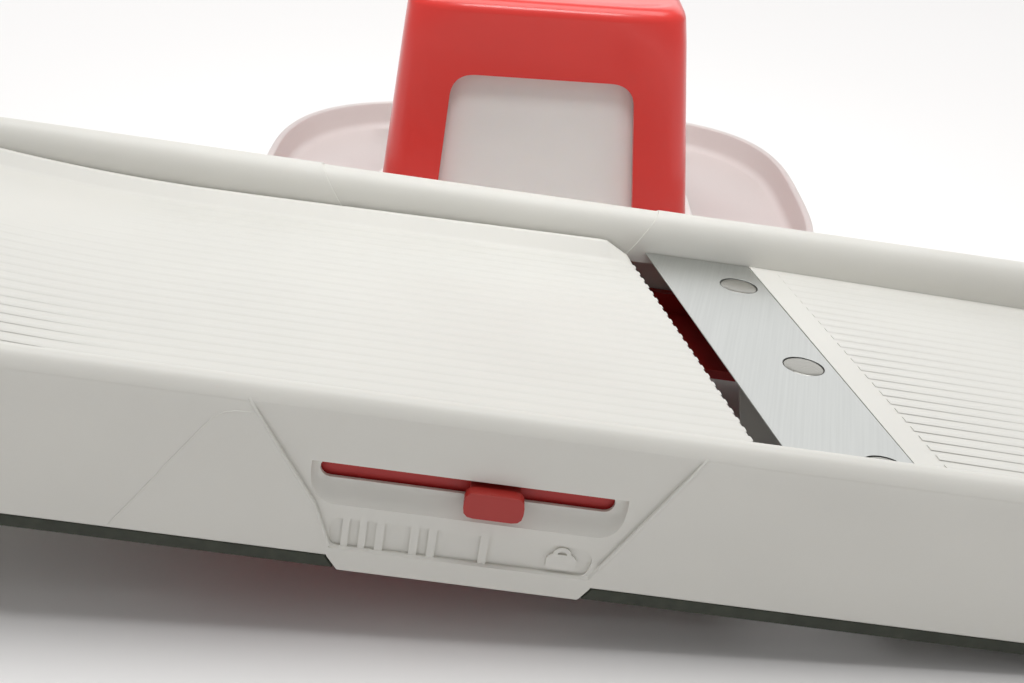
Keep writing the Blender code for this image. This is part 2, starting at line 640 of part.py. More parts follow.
def main():
    """Build both groups and stand them on the table plane, centred on the origin."""
    for obj in list(bpy.data.objects):
        bpy.data.objects.remove(obj, do_unlink=True)
    white = material("white_plastic", (0.78, 0.77, 0.73), 0.42)
    red = material("red_plastic", (0.60, 0.03, 0.03), 0.30)
    steel = material("blade_steel", (0.66, 0.68, 0.67), 0.25, metallic=1.0)
    rivet_steel = material("rivet_steel", (0.62, 0.62, 0.58), 0.30, metallic=1.0)
    rubber = material("dark_rubber", (0.03, 0.035, 0.03), 0.75)
    clear = material("guard_plastic", (0.86, 0.80, 0.79), 0.30, alpha=0.65)

    sine = math.sin(PITCH)
    cosine = math.cos(PITCH)
    lowest_left = cosine * LEFT_END + sine * END_SKIRT_BOTTOM
    furthest_right = cosine * RIGHT_END + sine * -1.0
    shift_x = -(lowest_left + furthest_right) / 2
    far_edge = HOLDER_FROM_CENTRE_Y + GUARD_HALF_Y
    shift_y = -(far_edge - KNOB_FRONT) / 2
    shift_z = sine * CONTACT_X - cosine * RUBBER_BOTTOM
    slicer = bpy.data.objects.new("slicer_frame", None)
    slicer.location = Vector((shift_x, shift_y, shift_z)) * MM
    slicer.rotation_euler = (0.0, PITCH, 0.0)
    bpy.context.scene.collection.objects.link(slicer)
    contact_x = cosine * CONTACT_X + sine * RUBBER_BOTTOM + shift_x
    holder = bpy.data.objects.new("holder_frame", None)
    holder.location = Vector((contact_x + HOLDER_FROM_CONTACT_X, HOLDER_FROM_CENTRE_Y + shift_y, 0.0)) * MM
    bpy.context.scene.collection.objects.link(holder)

    build_body(white, slicer)
    rod = build_platform(white, slicer)[1]
    finish(rod, steel, slicer)
    build_blade(steel, rivet_steel, slicer)
    build_slider(red, steel, slicer)
    build_strips(rubber, slicer)
    build_stand(white, steel, rubber, slicer)
    build_guard(clear, holder)
    build_core(white, holder)
    build_handle(red, holder)
    build_plunger(white, steel, holder)


main()
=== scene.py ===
"""Looks of an adjustable mandoline slicer and its separate food holder.

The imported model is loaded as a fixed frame, and each sub-assembly is rebuilt finely round it.  The
slicer's pieces are drawn in its own level frame (X along its length, Y across, Z up from the
out-feed deck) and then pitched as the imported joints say.  Sizes are in millimetres until a piece is
settled into the frame, which is in metres.
"""
from __future__ import annotations

import json
import logging
import math
from dataclasses import dataclass, field
from enum import Enum
from typing import Iterable, Sequence

import bmesh
import bpy
from mathutils import Matrix, Vector

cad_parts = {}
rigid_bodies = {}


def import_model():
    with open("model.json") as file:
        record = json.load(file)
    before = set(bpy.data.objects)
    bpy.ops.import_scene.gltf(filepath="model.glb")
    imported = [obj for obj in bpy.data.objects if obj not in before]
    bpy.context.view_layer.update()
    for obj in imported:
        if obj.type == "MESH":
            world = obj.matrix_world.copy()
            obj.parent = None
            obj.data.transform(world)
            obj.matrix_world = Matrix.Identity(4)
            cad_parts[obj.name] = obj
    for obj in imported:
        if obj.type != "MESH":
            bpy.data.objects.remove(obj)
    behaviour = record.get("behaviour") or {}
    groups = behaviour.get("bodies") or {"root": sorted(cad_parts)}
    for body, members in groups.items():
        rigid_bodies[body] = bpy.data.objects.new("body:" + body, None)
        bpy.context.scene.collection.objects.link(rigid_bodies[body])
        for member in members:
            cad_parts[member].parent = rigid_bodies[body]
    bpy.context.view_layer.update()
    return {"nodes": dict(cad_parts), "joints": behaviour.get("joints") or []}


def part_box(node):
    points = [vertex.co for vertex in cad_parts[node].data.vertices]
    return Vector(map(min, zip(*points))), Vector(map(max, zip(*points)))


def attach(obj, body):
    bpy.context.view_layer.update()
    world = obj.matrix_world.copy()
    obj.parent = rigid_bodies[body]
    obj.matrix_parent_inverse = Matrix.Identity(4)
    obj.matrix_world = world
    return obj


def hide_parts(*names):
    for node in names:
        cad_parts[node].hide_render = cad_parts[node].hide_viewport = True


LOG = logging.getLogger("mandoline")
MM = 0.001
Point2 = tuple[float, float]
Point3 = tuple[float, float, float]
Colour = tuple[float, float, float]


class Body(Enum):
    """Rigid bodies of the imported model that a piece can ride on."""

    SLICER = "slicer"
    SLIDER = "slider"
    PLATFORM = "platform"
    HOLDER = "holder"
    PLUNGER = "plunger"


class Axis(Enum):
    """Direction in which an outline is extruded."""

    X = "X"
    Y = "Y"
    Z = "Z"

    def point(self, a: float, b: float, along: float) -> Point3:
        """Point from an outline's two coordinates and the distance along this axis."""
        places = {"X": (along, a, b), "Y": (a, along, b), "Z": (a, b, along)}
        return places[self.value]


# ------------------------------------------------------------------ finishes

class NodeSheet:
    """A node tree that is filled by adding nodes and joining sockets."""

    def __init__(self, tree: bpy.types.NodeTree) -> None:
        """Keep the tree."""
        self.tree = tree

    def add(self, kind: str, **inputs: object) -> bpy.types.Node:
        """Add a node and set some of its inputs.

        Args:
            kind: Blender's name of the node type.
            inputs: Values or output sockets, by input name with underscores for spaces.

        Returns:
            The new node.
        """
        node = self.tree.nodes.new(kind)
        for name, value in inputs.items():
            self.feed(node, name.replace("_", " "), value)
        return node

    def feed(self, node: bpy.types.Node, socket: str | int, value: object) -> None:
        """Set one input of a node to a value, or join an output to it."""
        target = node.inputs[socket]
        if isinstance(value, bpy.types.NodeSocket):
            self.tree.links.new(value, target)
        else:
            target.default_value = value


class Finish:
    """Base of the finishes: makes one Principled material and keeps it."""

    made: dict[str, bpy.types.Material] = {}

    def material(self) -> bpy.types.Material:
        """Return the material, building it the first time."""
        name = getattr(self, "name")
        if name not in Finish.made:
            material = bpy.data.materials.new(name)
            material.use_nodes = True
            sheet = NodeSheet(material.node_tree)
            shader = material.node_tree.nodes["Principled BSDF"]
            self.lay(sheet, shader)
            Finish.made[name] = material
        return Finish.made[name]

    def lay(self, sheet: NodeSheet, shader: bpy.types.Node) -> None:
        """Join this finish's textures to the shader."""
        raise NotImplementedError

    @staticmethod
    def place(sheet: NodeSheet, scale: Point3 = (1.0, 1.0, 1.0),
              turn: Point3 = (0.0, 0.0, 0.0)) -> bpy.types.NodeSocket:
        """Position on the piece, turned and then stretched.

        Args:
            sheet: Tree to add the nodes to.
            scale: Stretch along each axis.
            turn: Turn of the pattern, in radians.

        Returns:
            The vector output.
        """
        coordinates = sheet.add("ShaderNodeTexCoord")
        turned = sheet.add("ShaderNodeMapping", Vector=coordinates.outputs["Object"], Rotation=turn)
        return sheet.add("ShaderNodeMapping", Vector=turned.outputs[0], Scale=scale).outputs[0]

    @staticmethod
    def blend(sheet: NodeSheet, factor: bpy.types.NodeSocket, low: Colour,
              high: Colour) -> bpy.types.NodeSocket:
        """Colour between two colours, by a noise value."""
        ramp = sheet.add("ShaderNodeValToRGB", Fac=factor)
        ramp.color_ramp.elements[0].position = 0.3
        ramp.color_ramp.elements[0].color = (*low, 1.0)
        ramp.color_ramp.elements[1].position = 0.7
        ramp.color_ramp.elements[1].color = (*high, 1.0)
        return ramp.outputs["Color"]

    @staticmethod
    def spread(sheet: NodeSheet, factor: bpy.types.NodeSocket, low: float,
               high: float) -> bpy.types.NodeSocket:
        """Value between two limits, by a noise value."""
        node = sheet.add("ShaderNodeMapRange", Value=factor, To_Min=low, To_Max=high)
        return node.outputs["Result"]


@dataclass(frozen=True)
class MouldedPlastic(Finish):
    """Injection-moulded plastic: a fine spark-eroded grain and slight clouding."""

    name: str
    colour: Colour
    roughness: float
    grain: float = 0.05
    clouding: float = 0.02
    translucency: float = 0.0
    coat: float = 0.0

    def lay(self, sheet: NodeSheet, shader: bpy.types.Node) -> None:
        """Clouded colour, uneven gloss and a fine grain."""
        where = self.place(sheet)
        clouds = sheet.add("ShaderNodeTexNoise", Vector=where, Scale=38.0, Detail=3.0)
        darker = tuple(c * (1.0 - self.clouding) for c in self.colour)
        lighter = tuple(min(1.0, c * (1.0 + self.clouding)) for c in self.colour)
        sheet.feed(shader, "Base Color", self.blend(sheet, clouds.outputs["Fac"], darker, lighter))
        sheet.feed(shader, "Roughness", self.spread(sheet, clouds.outputs["Fac"],
                                                    self.roughness - 0.05, self.roughness + 0.05))
        grain = sheet.add("ShaderNodeTexNoise", Vector=where, Scale=2600.0, Detail=2.0)
        flow = sheet.add("ShaderNodeTexNoise", Vector=where, Scale=160.0, Detail=2.0)
        fine = sheet.add("ShaderNodeBump", Strength=self.grain, Distance=0.00006,
                         Height=grain.outputs["Fac"])
        broad = sheet.add("ShaderNodeBump", Strength=self.grain, Distance=0.0002,
                          Height=flow.outputs["Fac"], Normal=fine.outputs["Normal"])
        sheet.feed(shader, "Normal", broad.outputs["Normal"])
        shader.inputs["IOR"].default_value = 1.49
        shader.inputs["Coat Weight"].default_value = self.coat
        shader.inputs["Coat Roughness"].default_value = 0.12
        if self.translucency:
            shader.inputs["Subsurface Weight"].default_value = self.translucency
            shader.inputs["Subsurface Radius"].default_value = (0.003, 0.0024, 0.0018)
            shader.inputs["Subsurface Scale"].default_value = 1.0


@dataclass(frozen=True)
class GroundSteel(Finish):
    """Stainless steel with fine parallel grinding marks."""

    name: str
    colour: Colour
    roughness: float
    turn: float = 0.0
    marks: float = 0.12

    def lay(self, sheet: NodeSheet, shader: bpy.types.Node) -> None:
        """Streaks along one direction in colour, gloss and relief."""
        streaks = self.place(sheet, (30.0, 2400.0, 900.0), (0.0, 0.0, self.turn))
        lines = sheet.add("ShaderNodeTexNoise", Vector=streaks, Scale=1.0, Detail=4.0)
        smear = sheet.add("ShaderNodeTexNoise", Vector=self.place(sheet), Scale=45.0, Detail=3.0)
        darker = tuple(c * 0.93 for c in self.colour)
        sheet.feed(shader, "Base Color", self.blend(sheet, lines.outputs["Fac"], darker, self.colour))
        rough = self.spread(sheet, smear.outputs["Fac"], self.roughness - 0.04, self.roughness + 0.06)
        sheet.feed(shader, "Roughness", rough)
        bump = sheet.add("ShaderNodeBump", Strength=self.marks, Distance=0.00003,
                         Height=lines.outputs["Fac"])
        sheet.feed(shader, "Normal", bump.outputs["Normal"])
        shader.inputs["Metallic"].default_value = 1.0


@dataclass(frozen=True)
class SoftRubber(Finish):
    """Dark soft rubber with a dull, slightly dusty skin."""

    name: str
    colour: Colour
    roughness: float = 0.72

    def lay(self, sheet: NodeSheet, shader: bpy.types.Node) -> None:
        """Dusty colour and a pebbled relief."""
        where = self.place(sheet)
        dust = sheet.add("ShaderNodeTexNoise", Vector=where, Scale=420.0, Detail=6.0)
        pebble = sheet.add("ShaderNodeTexVoronoi", Vector=where, Scale=1500.0)
        lighter = tuple(c * 1.6 + 0.004 for c in self.colour)
        sheet.feed(shader, "Base Color", self.blend(sheet, dust.outputs["Fac"], self.colour, lighter))
        sheet.feed(shader, "Roughness", self.spread(sheet, dust.outputs["Fac"],
                                                    self.roughness - 0.08, self.roughness + 0.08))
        bump = sheet.add("ShaderNodeBump", Strength=0.25, Distance=0.00008,
                         Height=pebble.outputs["Distance"])
        sheet.feed(shader, "Normal", bump.outputs["Normal"])


@dataclass(frozen=True)
class FrostedPlastic(Finish):
    """Cloudy see-through plastic with a faint tint."""

    name: str
    colour: Colour
    roughness: float = 0.30
    clearness: float = 0.5

    def lay(self, sheet: NodeSheet, shader: bpy.types.Node) -> None:
        """Tinted, part see-through body with a light haze."""
        where = self.place(sheet)
        haze = sheet.add("ShaderNodeTexNoise", Vector=where, Scale=60.0, Detail=4.0)
        deeper = tuple(c * 0.97 for c in self.colour)
        sheet.feed(shader, "Base Color", self.blend(sheet, haze.outputs["Fac"], deeper, self.colour))
        sheet.feed(shader, "Roughness", self.spread(sheet, haze.outputs["Fac"],
                                                    self.roughness - 0.05, self.roughness + 0.07))
        ripple = sheet.add("ShaderNodeTexNoise", Vector=where, Scale=700.0, Detail=2.0)
        bump = sheet.add("ShaderNodeBump", Strength=0.08, Distance=0.0001, Height=ripple.outputs["Fac"])
        sheet.feed(shader, "Normal", bump.outputs["Normal"])
        shader.inputs["Transmission Weight"].default_value = self.clearness
        shader.inputs["IOR"].default_value = 1.42


BLADE_LEAN = math.radians(11.4)
BLADE_SLOPE = math.tan(BLADE_LEAN)
BLADE_FRONT = 51.85
PLATFORM_PIVOT: Point2 = (-134.0, 1.5)
PIN_HOLE_RADIUS = 2.15
RIB_PITCH = 3.33
RIB_WIDTH = 1.8
WHITE = MouldedPlastic("white_moulding", (0.70, 0.69, 0.645), 0.42, grain=0.05, translucency=0.05)
# Lighter copy of the white plastic for the holder's chimney: painted light, standing in for the light it
# catches from behind.
WHITE_PAINTED_LIGHT = MouldedPlastic("holder_white_painted_light", (0.90, 0.885, 0.86), 0.40, grain=0.05,
                              translucency=0.15)
RED = MouldedPlastic("red_moulding", (0.76, 0.040, 0.032), 0.30, grain=0.07, clouding=0.04, coat=0.25)
# Darker copy of the red plastic for the thumb knob: painted shade of the slot on the shaded near wall.
RED_PAINTED_SHADE_KNOB = MouldedPlastic("red_knob_painted_shade", (0.40, 0.026, 0.020), 0.36, grain=0.07)
# Darker copy of the red plastic for the slider carriage inside the body: painted shade.
RED_PAINTED_SHADE_CARRIAGE = MouldedPlastic("red_carriage_painted_shade", (0.42, 0.018, 0.016), 0.40, grain=0.06)
STEEL = GroundSteel("blade_steel", (0.58, 0.595, 0.58), 0.30, turn=math.pi / 2 + BLADE_LEAN)
RIVET_STEEL = GroundSteel("rivet_steel", (0.38, 0.375, 0.345), 0.26, marks=0.3)
ROD_STEEL = GroundSteel("rod_steel", (0.60, 0.60, 0.59), 0.28)
RUBBER = SoftRubber("dark_rubber", (0.030, 0.034, 0.024))
CLEAR = FrostedPlastic("guard_plastic", (0.84, 0.765, 0.745), 0.35, 0.45)


# ------------------------------------------------------------------ shapes

def arc(centre: Point2, radius: float, start: float, end: float, steps: int) -> list[Point2]:
    """Points along a circular arc.

    Args:
        centre: Centre of the arc.
        radius: Radius of the arc.
        start: First angle, in degrees.
        end: Last angle, in degrees.
        steps: Number of equal steps between them.

    Returns:
        The points, both ends included.
    """
    angles = (math.radians(start + (end - start) * i / steps) for i in range(steps + 1))
    return [(centre[0] + radius * math.cos(a), centre[1] + radius * math.sin(a)) for a in angles]


def circle(centre: Point2, radius: float, facets: int) -> list[Point2]:
    """Closed outline of a circle, anticlockwise from its +X side."""
    return arc(centre, radius, 0.0, 360.0 * (facets - 1) / facets, facets - 1)


def superellipse(half_x: float, half_y: float, power: float, count: int) -> list[Point2]:
    """Closed outline between an ellipse and a rectangle, anticlockwise."""
    outline = []
    for i in range(count):
        angle = 2.0 * math.pi * i / count
        c, s = math.cos(angle), math.sin(angle)
        outline.append((half_x * math.copysign(abs(c) ** (2.0 / power), c),
                        half_y * math.copysign(abs(s) ** (2.0 / power), s)))
    return outline


def rounded(corners: Sequence[Point2], radius: float, steps: int = 5) -> list[Point2]:
    """Closed outline whose corners are rounded.

    Args:
        corners: Corners of the outline.
        radius: Radius wanted at each corner; short sides get less.
        steps: Facets at each corner.

    Returns:
        The rounded outline.
    """
    result = []
    count = len(corners)
    for i, corner in enumerate(corners):
        here = Vector(corner)
        back = Vector(corners[i - 1]) - here
        ahead = Vector(corners[(i + 1) % count]) - here
        half_angle = back.angle(ahead) / 2.0
        reach = min(radius / math.tan(half_angle), 0.45 * back.length, 0.45 * ahead.length)
        first = here + back.normalized() * reach
        last = here + ahead.normalized() * reach
        for step in range(steps + 1):
            t = step / steps
            point = (1 - t) ** 2 * first + 2 * t * (1 - t) * here + t * t * last
            result.append((point.x, point.y))
    return result


def grown(outline: Sequence[Point2], amount: float) -> list[Point2]:
    """Outline moved outwards by an amount, or inwards if it is negative."""
    area = sum(a[0] * b[1] - b[0] * a[1] for a, b in zip(outline, [*outline[1:], outline[0]]))
    shift = amount * math.copysign(1.0, area)
    result = []
    count = len(outline)
    for i, corner in enumerate(outline):
        here = Vector(corner)
        into = (here - Vector(outline[i - 1])).normalized()
        out_of = (Vector(outline[(i + 1) % count]) - here).normalized()
        normal = Vector((into.y + out_of.y, -into.x - out_of.x)).normalized()
        stretch = 1.0 / max(0.35, normal.dot(Vector((into.y, -into.x))))
        moved = here + normal * shift * stretch
        result.append((moved.x, moved.y))
    return result


def loft(rings: Sequence[Sequence[Point3]], closed: bool = False) -> bmesh.types.BMesh:
    """Skin through rings of points.

    Args:
        rings: Rings with the same number of points.
        closed: True if the last ring is joined to the first; otherwise both ends get a face.

    Returns:
        The shape, its faces outwards.
    """
    shape = bmesh.new()
    loops = [[shape.verts.new(point) for point in ring] for ring in rings]
    pairs = list(zip(loops, loops[1:]))
    if closed:
        pairs.append((loops[-1], loops[0]))
    for first, second in pairs:
        for i in range(len(first)):
            j = (i + 1) % len(first)
            shape.faces.new((first[i], first[j], second[j], second[i]))
    if not closed:
        shape.faces.new(list(reversed(loops[0])))
        shape.faces.new(loops[-1])
    bmesh.ops.recalc_face_normals(shape, faces=shape.faces)
    return shape


def prism(outline: Sequence[Point2], axis: Axis, low: float, high: float) -> bmesh.types.BMesh:
    """Outline extruded along an axis."""
    return loft([[axis.point(a, b, low) for a, b in outline], [axis.point(a, b, high) for a, b in outline]])


def bore(centre: Point2, radius: float, axis: Axis, low: float, high: float) -> bmesh.types.BMesh:
    """Round cutter along an axis."""
    return prism(circle(centre, radius, 24), axis, low, high)


def block(x: Point2, y: Point2, z: Point2, radius: float = 0.6, axis: Axis = Axis.X) -> bmesh.types.BMesh:
    """Rectangular bar whose edges along one axis are rounded."""
    spans = {Axis.X: (y, z, x), Axis.Y: (x, z, y), Axis.Z: (x, y, z)}
    first, second, along = spans[axis]
    corners = [(first[0], second[0]), (first[1], second[0]), (first[1], second[1]), (first[0], second[1])]
    return prism(rounded(corners, radius, 3), axis, *along)


def lathe(profile: Sequence[Point2], steps: int) -> bmesh.types.BMesh:
    """Profile of (radius, height) turned about Z, starting and ending on the axis."""
    shape = bmesh.new()
    rings = []
    for radius, height in profile:
        if radius < 1e-6:
            rings.append([shape.verts.new((0.0, 0.0, height))])
        else:
            turned = circle((0.0, 0.0), radius, steps)
            rings.append([shape.verts.new((x, y, height)) for x, y in turned])
    for first, second in zip(rings, rings[1:]):
        for i in range(steps):
            j = (i + 1) % steps
            corners = [first[i % len(first)], first[j % len(first)], second[j % len(second)],
                       second[i % len(second)]]
            shape.faces.new(list(dict.fromkeys(corners)))
    bmesh.ops.recalc_face_normals(shape, faces=shape.faces)
    return shape


class Piece:
    """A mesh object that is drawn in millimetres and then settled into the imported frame."""

    def __init__(self, name: str, shape: bmesh.types.BMesh) -> None:
        """Make the object from a shape, which is used up."""
        mesh = bpy.data.meshes.new(name)
        shape.to_mesh(mesh)
        shape.free()
        self.obj = bpy.data.objects.new(name, mesh)
        bpy.context.scene.collection.objects.link(self.obj)

    def add(self, *shapes: bmesh.types.BMesh) -> Piece:
        """Lay more closed shapes into this piece; they may overlap it.

        Args:
            shapes: The shapes, which are used up.

        Returns:
            This piece.
        """
        whole = bmesh.new()
        whole.from_mesh(self.obj.data)
        for shape in shapes:
            part = bpy.data.meshes.new("part")
            shape.to_mesh(part)
            shape.free()
            whole.from_mesh(part)
            bpy.data.meshes.remove(part)
        whole.to_mesh(self.obj.data)
        whole.free()
        return self

    def carve(self, operation: str, *shapes: bmesh.types.BMesh) -> Piece:
        """Cut this piece by, join it to, or keep it inside, some shapes.

        Args:
            operation: DIFFERENCE, UNION or INTERSECT.
            shapes: The cutting shapes, which are used up.

        Returns:
            This piece.
        """
        tools = [Piece(self.obj.name + "_tool", shape).obj for shape in shapes]
        for tool in tools:
            modifier = self.obj.modifiers.new("carve", "BOOLEAN")
            modifier.operation = operation
            modifier.solver = "MANIFOLD"
            modifier.object = tool
        self.settle_modifiers()
        for tool in tools:
            bpy.data.objects.remove(tool, do_unlink=True)
        return self

    def soften(self, width: float, angle: float = 40.0, segments: int = 3) -> Piece:
        """Round the edges that are sharper than an angle in degrees."""
        modifier = self.obj.modifiers.new("soften", "BEVEL")
        modifier.width = width
        modifier.segments = segments
        modifier.limit_method = "ANGLE"
        modifier.angle_limit = math.radians(angle)
        modifier.use_clamp_overlap = True
        self.settle_modifiers()
        return self

    def settle_modifiers(self) -> None:
        """Turn the evaluated shape into the piece's own mesh."""
        depsgraph = bpy.context.evaluated_depsgraph_get()
        mesh = bpy.data.meshes.new_from_object(self.obj.evaluated_get(depsgraph))
        self.obj.modifiers.clear()
        self.obj.data = mesh

    def shape(self) -> bmesh.types.BMesh:
        """Give up the object and return its shape."""
        shape = bmesh.new()
        shape.from_mesh(self.obj.data)
        bpy.data.objects.remove(self.obj, do_unlink=True)
        return shape

    def settle(self, place: Matrix, finish: Finish, body: Body, stands_for: Iterable[str] = (),
               slot: str = "", sharp: float = 34.0) -> bpy.types.Object:
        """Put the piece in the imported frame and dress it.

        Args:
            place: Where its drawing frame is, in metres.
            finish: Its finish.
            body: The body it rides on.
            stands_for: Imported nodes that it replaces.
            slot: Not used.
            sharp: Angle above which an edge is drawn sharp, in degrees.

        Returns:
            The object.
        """
        mesh = self.obj.data
        mesh.transform(place @ Matrix.Scale(MM, 4))
        mesh.materials.clear()
        mesh.materials.append(finish.material())
        mesh.shade_smooth()
        mesh.set_sharp_from_angle(angle=math.radians(sharp))
        mesh.name = self.obj.name
        even = self.obj.modifiers.new("even_shading", "WEIGHTED_NORMAL")
        even.keep_sharp = True
        even.weight = 80
        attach(self.obj, body.value)
        nodes = list(stands_for)
        if nodes:
            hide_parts(*nodes)
        LOG.info("%s: %d faces on %s", self.obj.name, len(mesh.polygons), body.value)
        return self.obj


# ------------------------------------------------------------------ repeated pieces

class RepeatTree:
    """Geometry Nodes tree that sweeps a bead along a path, or copies a shape, in straight rows."""

    def __init__(self, name: str) -> None:
        """Start a tree with its geometry input and output."""
        self.tree = bpy.data.node_groups.new(name, "GeometryNodeTree")
        self.sheet = NodeSheet(self.tree)
        self.tree.interface.new_socket("Geometry", in_out="INPUT", socket_type="NodeSocketGeometry")
        self.tree.interface.new_socket("Geometry", in_out="OUTPUT", socket_type="NodeSocketGeometry")
        self.ids: dict[str, str] = {}
        for label, kind in (("Count", "Int"), ("Start", "Vector"), ("Step", "Vector"), ("Rows", "Int"),
                            ("Row Step", "Vector"), ("Bead Height", "Float"), ("Bead Width", "Float"),
                            ("Lean", "Float"), ("Fixed End", "Float"), ("Leaning End", "Float"),
                            ("Finish", "Material")):
            socket = self.tree.interface.new_socket(label, in_out="INPUT",
                                                    socket_type="NodeSocket" + kind)
            self.ids[label] = socket.identifier
        self.given = self.sheet.add("NodeGroupInput")

    def value(self, label: str) -> bpy.types.NodeSocket:
        """Output of a named input."""
        return self.given.outputs[label]

    def maths(self, operation: str, first: object, second: object) -> bpy.types.NodeSocket:
        """Result of a sum on two numbers."""
        node = self.sheet.add("ShaderNodeMath")
        node.operation = operation
        self.sheet.feed(node, 0, first)
        self.sheet.feed(node, 1, second)
        return node.outputs[0]

    def moved(self, geometry: bpy.types.NodeSocket, x: object, y: object) -> bpy.types.NodeSocket:
        """Geometry with new X and Y, and its own Z."""
        joined = self.sheet.add("ShaderNodeCombineXYZ", X=x, Y=y, Z=self.part("Z"))
        node = self.sheet.add("GeometryNodeSetPosition", Geometry=geometry, Position=joined.outputs[0])
        return node.outputs["Geometry"]

    def part(self, axis: str) -> bpy.types.NodeSocket:
        """One coordinate of the position."""
        split = self.sheet.add("ShaderNodeSeparateXYZ",
                               Vector=self.sheet.add("GeometryNodeInputPosition").outputs[0])
        return split.outputs[axis]

    def swept(self) -> bpy.types.NodeSocket:
        """Half-round bead along the path that is the input geometry."""
        path = self.sheet.add("GeometryNodeMeshToCurve", Mesh=self.value("Geometry"))
        circle = self.sheet.add("GeometryNodeCurvePrimitiveCircle", Radius=self.value("Bead Height"),
                                Resolution=10)
        tube = self.sheet.add("GeometryNodeCurveToMesh", Curve=path.outputs[0],
                              Profile_Curve=circle.outputs["Curve"], Fill_Caps=True)
        half_width = self.maths("MULTIPLY", self.value("Bead Width"), 0.5)
        widening = self.maths("DIVIDE", half_width, self.value("Bead Height"))
        wide_y = self.maths("MULTIPLY", self.part("Y"), widening)
        return self.moved(tube.outputs["Mesh"], self.part("X"), wide_y)

    def copied(self, geometry: bpy.types.NodeSocket) -> bpy.types.NodeSocket:
        """Copies of a shape in straight rows."""
        line = self.sheet.add("GeometryNodeMeshLine", Count=self.value("Count"),
                              Start_Location=self.value("Start"), Offset=self.value("Step"))
        row = self.sheet.add("GeometryNodeInstanceOnPoints", Points=line.outputs[0], Instance=geometry)
        rows = self.sheet.add("GeometryNodeMeshLine", Count=self.value("Rows"),
                              Offset=self.value("Row Step"))
        grid = self.sheet.add("GeometryNodeInstanceOnPoints", Points=rows.outputs[0],
                              Instance=row.outputs[0])
        return self.sheet.add("GeometryNodeRealizeInstances", Geometry=grid.outputs[0]).outputs[0]

    def leaned(self, geometry: bpy.types.NodeSocket) -> bpy.types.NodeSocket:
        """Rows whose far ends follow the blade's slant while their other ends stay in line."""
        run = self.maths("SUBTRACT", self.value("Leaning End"), self.value("Fixed End"))
        along = self.maths("SUBTRACT", self.part("X"), self.value("Fixed End"))
        share = self.sheet.add("ShaderNodeClamp", Value=self.maths("DIVIDE", along, run)).outputs[0]
        shear = self.maths("MULTIPLY", self.maths("MULTIPLY", self.part("Y"), self.value("Lean")), share)
        return self.moved(geometry, self.maths("SUBTRACT", self.part("X"), shear), self.part("Y"))

    def close(self, geometry: bpy.types.NodeSocket) -> None:
        """End the tree with real geometry in the named finish."""
        real = self.sheet.add("GeometryNodeRealizeInstances", Geometry=geometry)
        dressed = self.sheet.add("GeometryNodeSetMaterial", Geometry=real.outputs[0],
                                 Material=self.value("Finish"))
        self.sheet.add("NodeGroupOutput", Geometry=dressed.outputs[0])

    def run(self, piece: Piece, finish: Finish, **values: object) -> Piece:
        """Grow the repeated geometry from a piece and keep it as that piece's mesh.

        Args:
            piece: The piece whose mesh is the path, or the shape to copy.
            finish: Finish of the result.
            values: The tree's inputs, by name with underscores for spaces.

        Returns:
            The same piece.
        """
        modifier = piece.obj.modifiers.new(self.tree.name, "NODES")
        modifier.node_group = self.tree
        modifier[self.ids["Finish"]] = finish.material()
        for name, value in values.items():
            modifier[self.ids[name.replace("_", " ")]] = value
        piece.settle_modifiers()
        return piece


def bead_tree() -> RepeatTree:
    """Tree for ribs: a bead swept along a path, repeated across the bed and leaned to the blade."""
    tree = RepeatTree("rows_of_beads")
    tree.close(tree.leaned(tree.copied(tree.swept())))
    return tree


def copy_tree() -> RepeatTree:
    """Tree for rivets and prongs: one shape repeated in straight rows."""
    tree = RepeatTree("rows_of_copies")
    tree.close(tree.copied(tree.value("Geometry")))
    return tree


def path_shape(points: Sequence[Point3]) -> bmesh.types.BMesh:
    """Open line of edges through points."""
    shape = bmesh.new()
    verts = [shape.verts.new(point) for point in points]
    for first, second in zip(verts, verts[1:]):
        shape.edges.new((first, second))
    return shape


def bed_ribs(tree: RepeatTree, name: str, path: Sequence[Point3], count: int, height: float,
             fixed_end: float, leaning_end: float) -> Piece:
    """Low ribs side by side along a bed, their blade ends in line with the blade.

    Args:
        tree: Tree that makes rows of beads.
        name: Name of the piece.
        path: Course of the middle rib.
        count: Number of ribs.
        height: Height of a rib.
        fixed_end: X of the ends that stay in line across the bed.
        leaning_end: X of the ends that follow the blade's slant.

    Returns:
        The ribs, in one piece.
    """
    return tree.run(Piece(name, path_shape(path)), WHITE, Count=count,
                    Start=(0.0, -RIB_PITCH * (count - 1) / 2.0, 0.0), Step=(0.0, RIB_PITCH, 0.0), Rows=1,
                    Bead_Height=height, Bead_Width=RIB_WIDTH, Lean=BLADE_SLOPE, Fixed_End=fixed_end,
                    Leaning_End=leaning_end)


# ------------------------------------------------------------------ slicer body

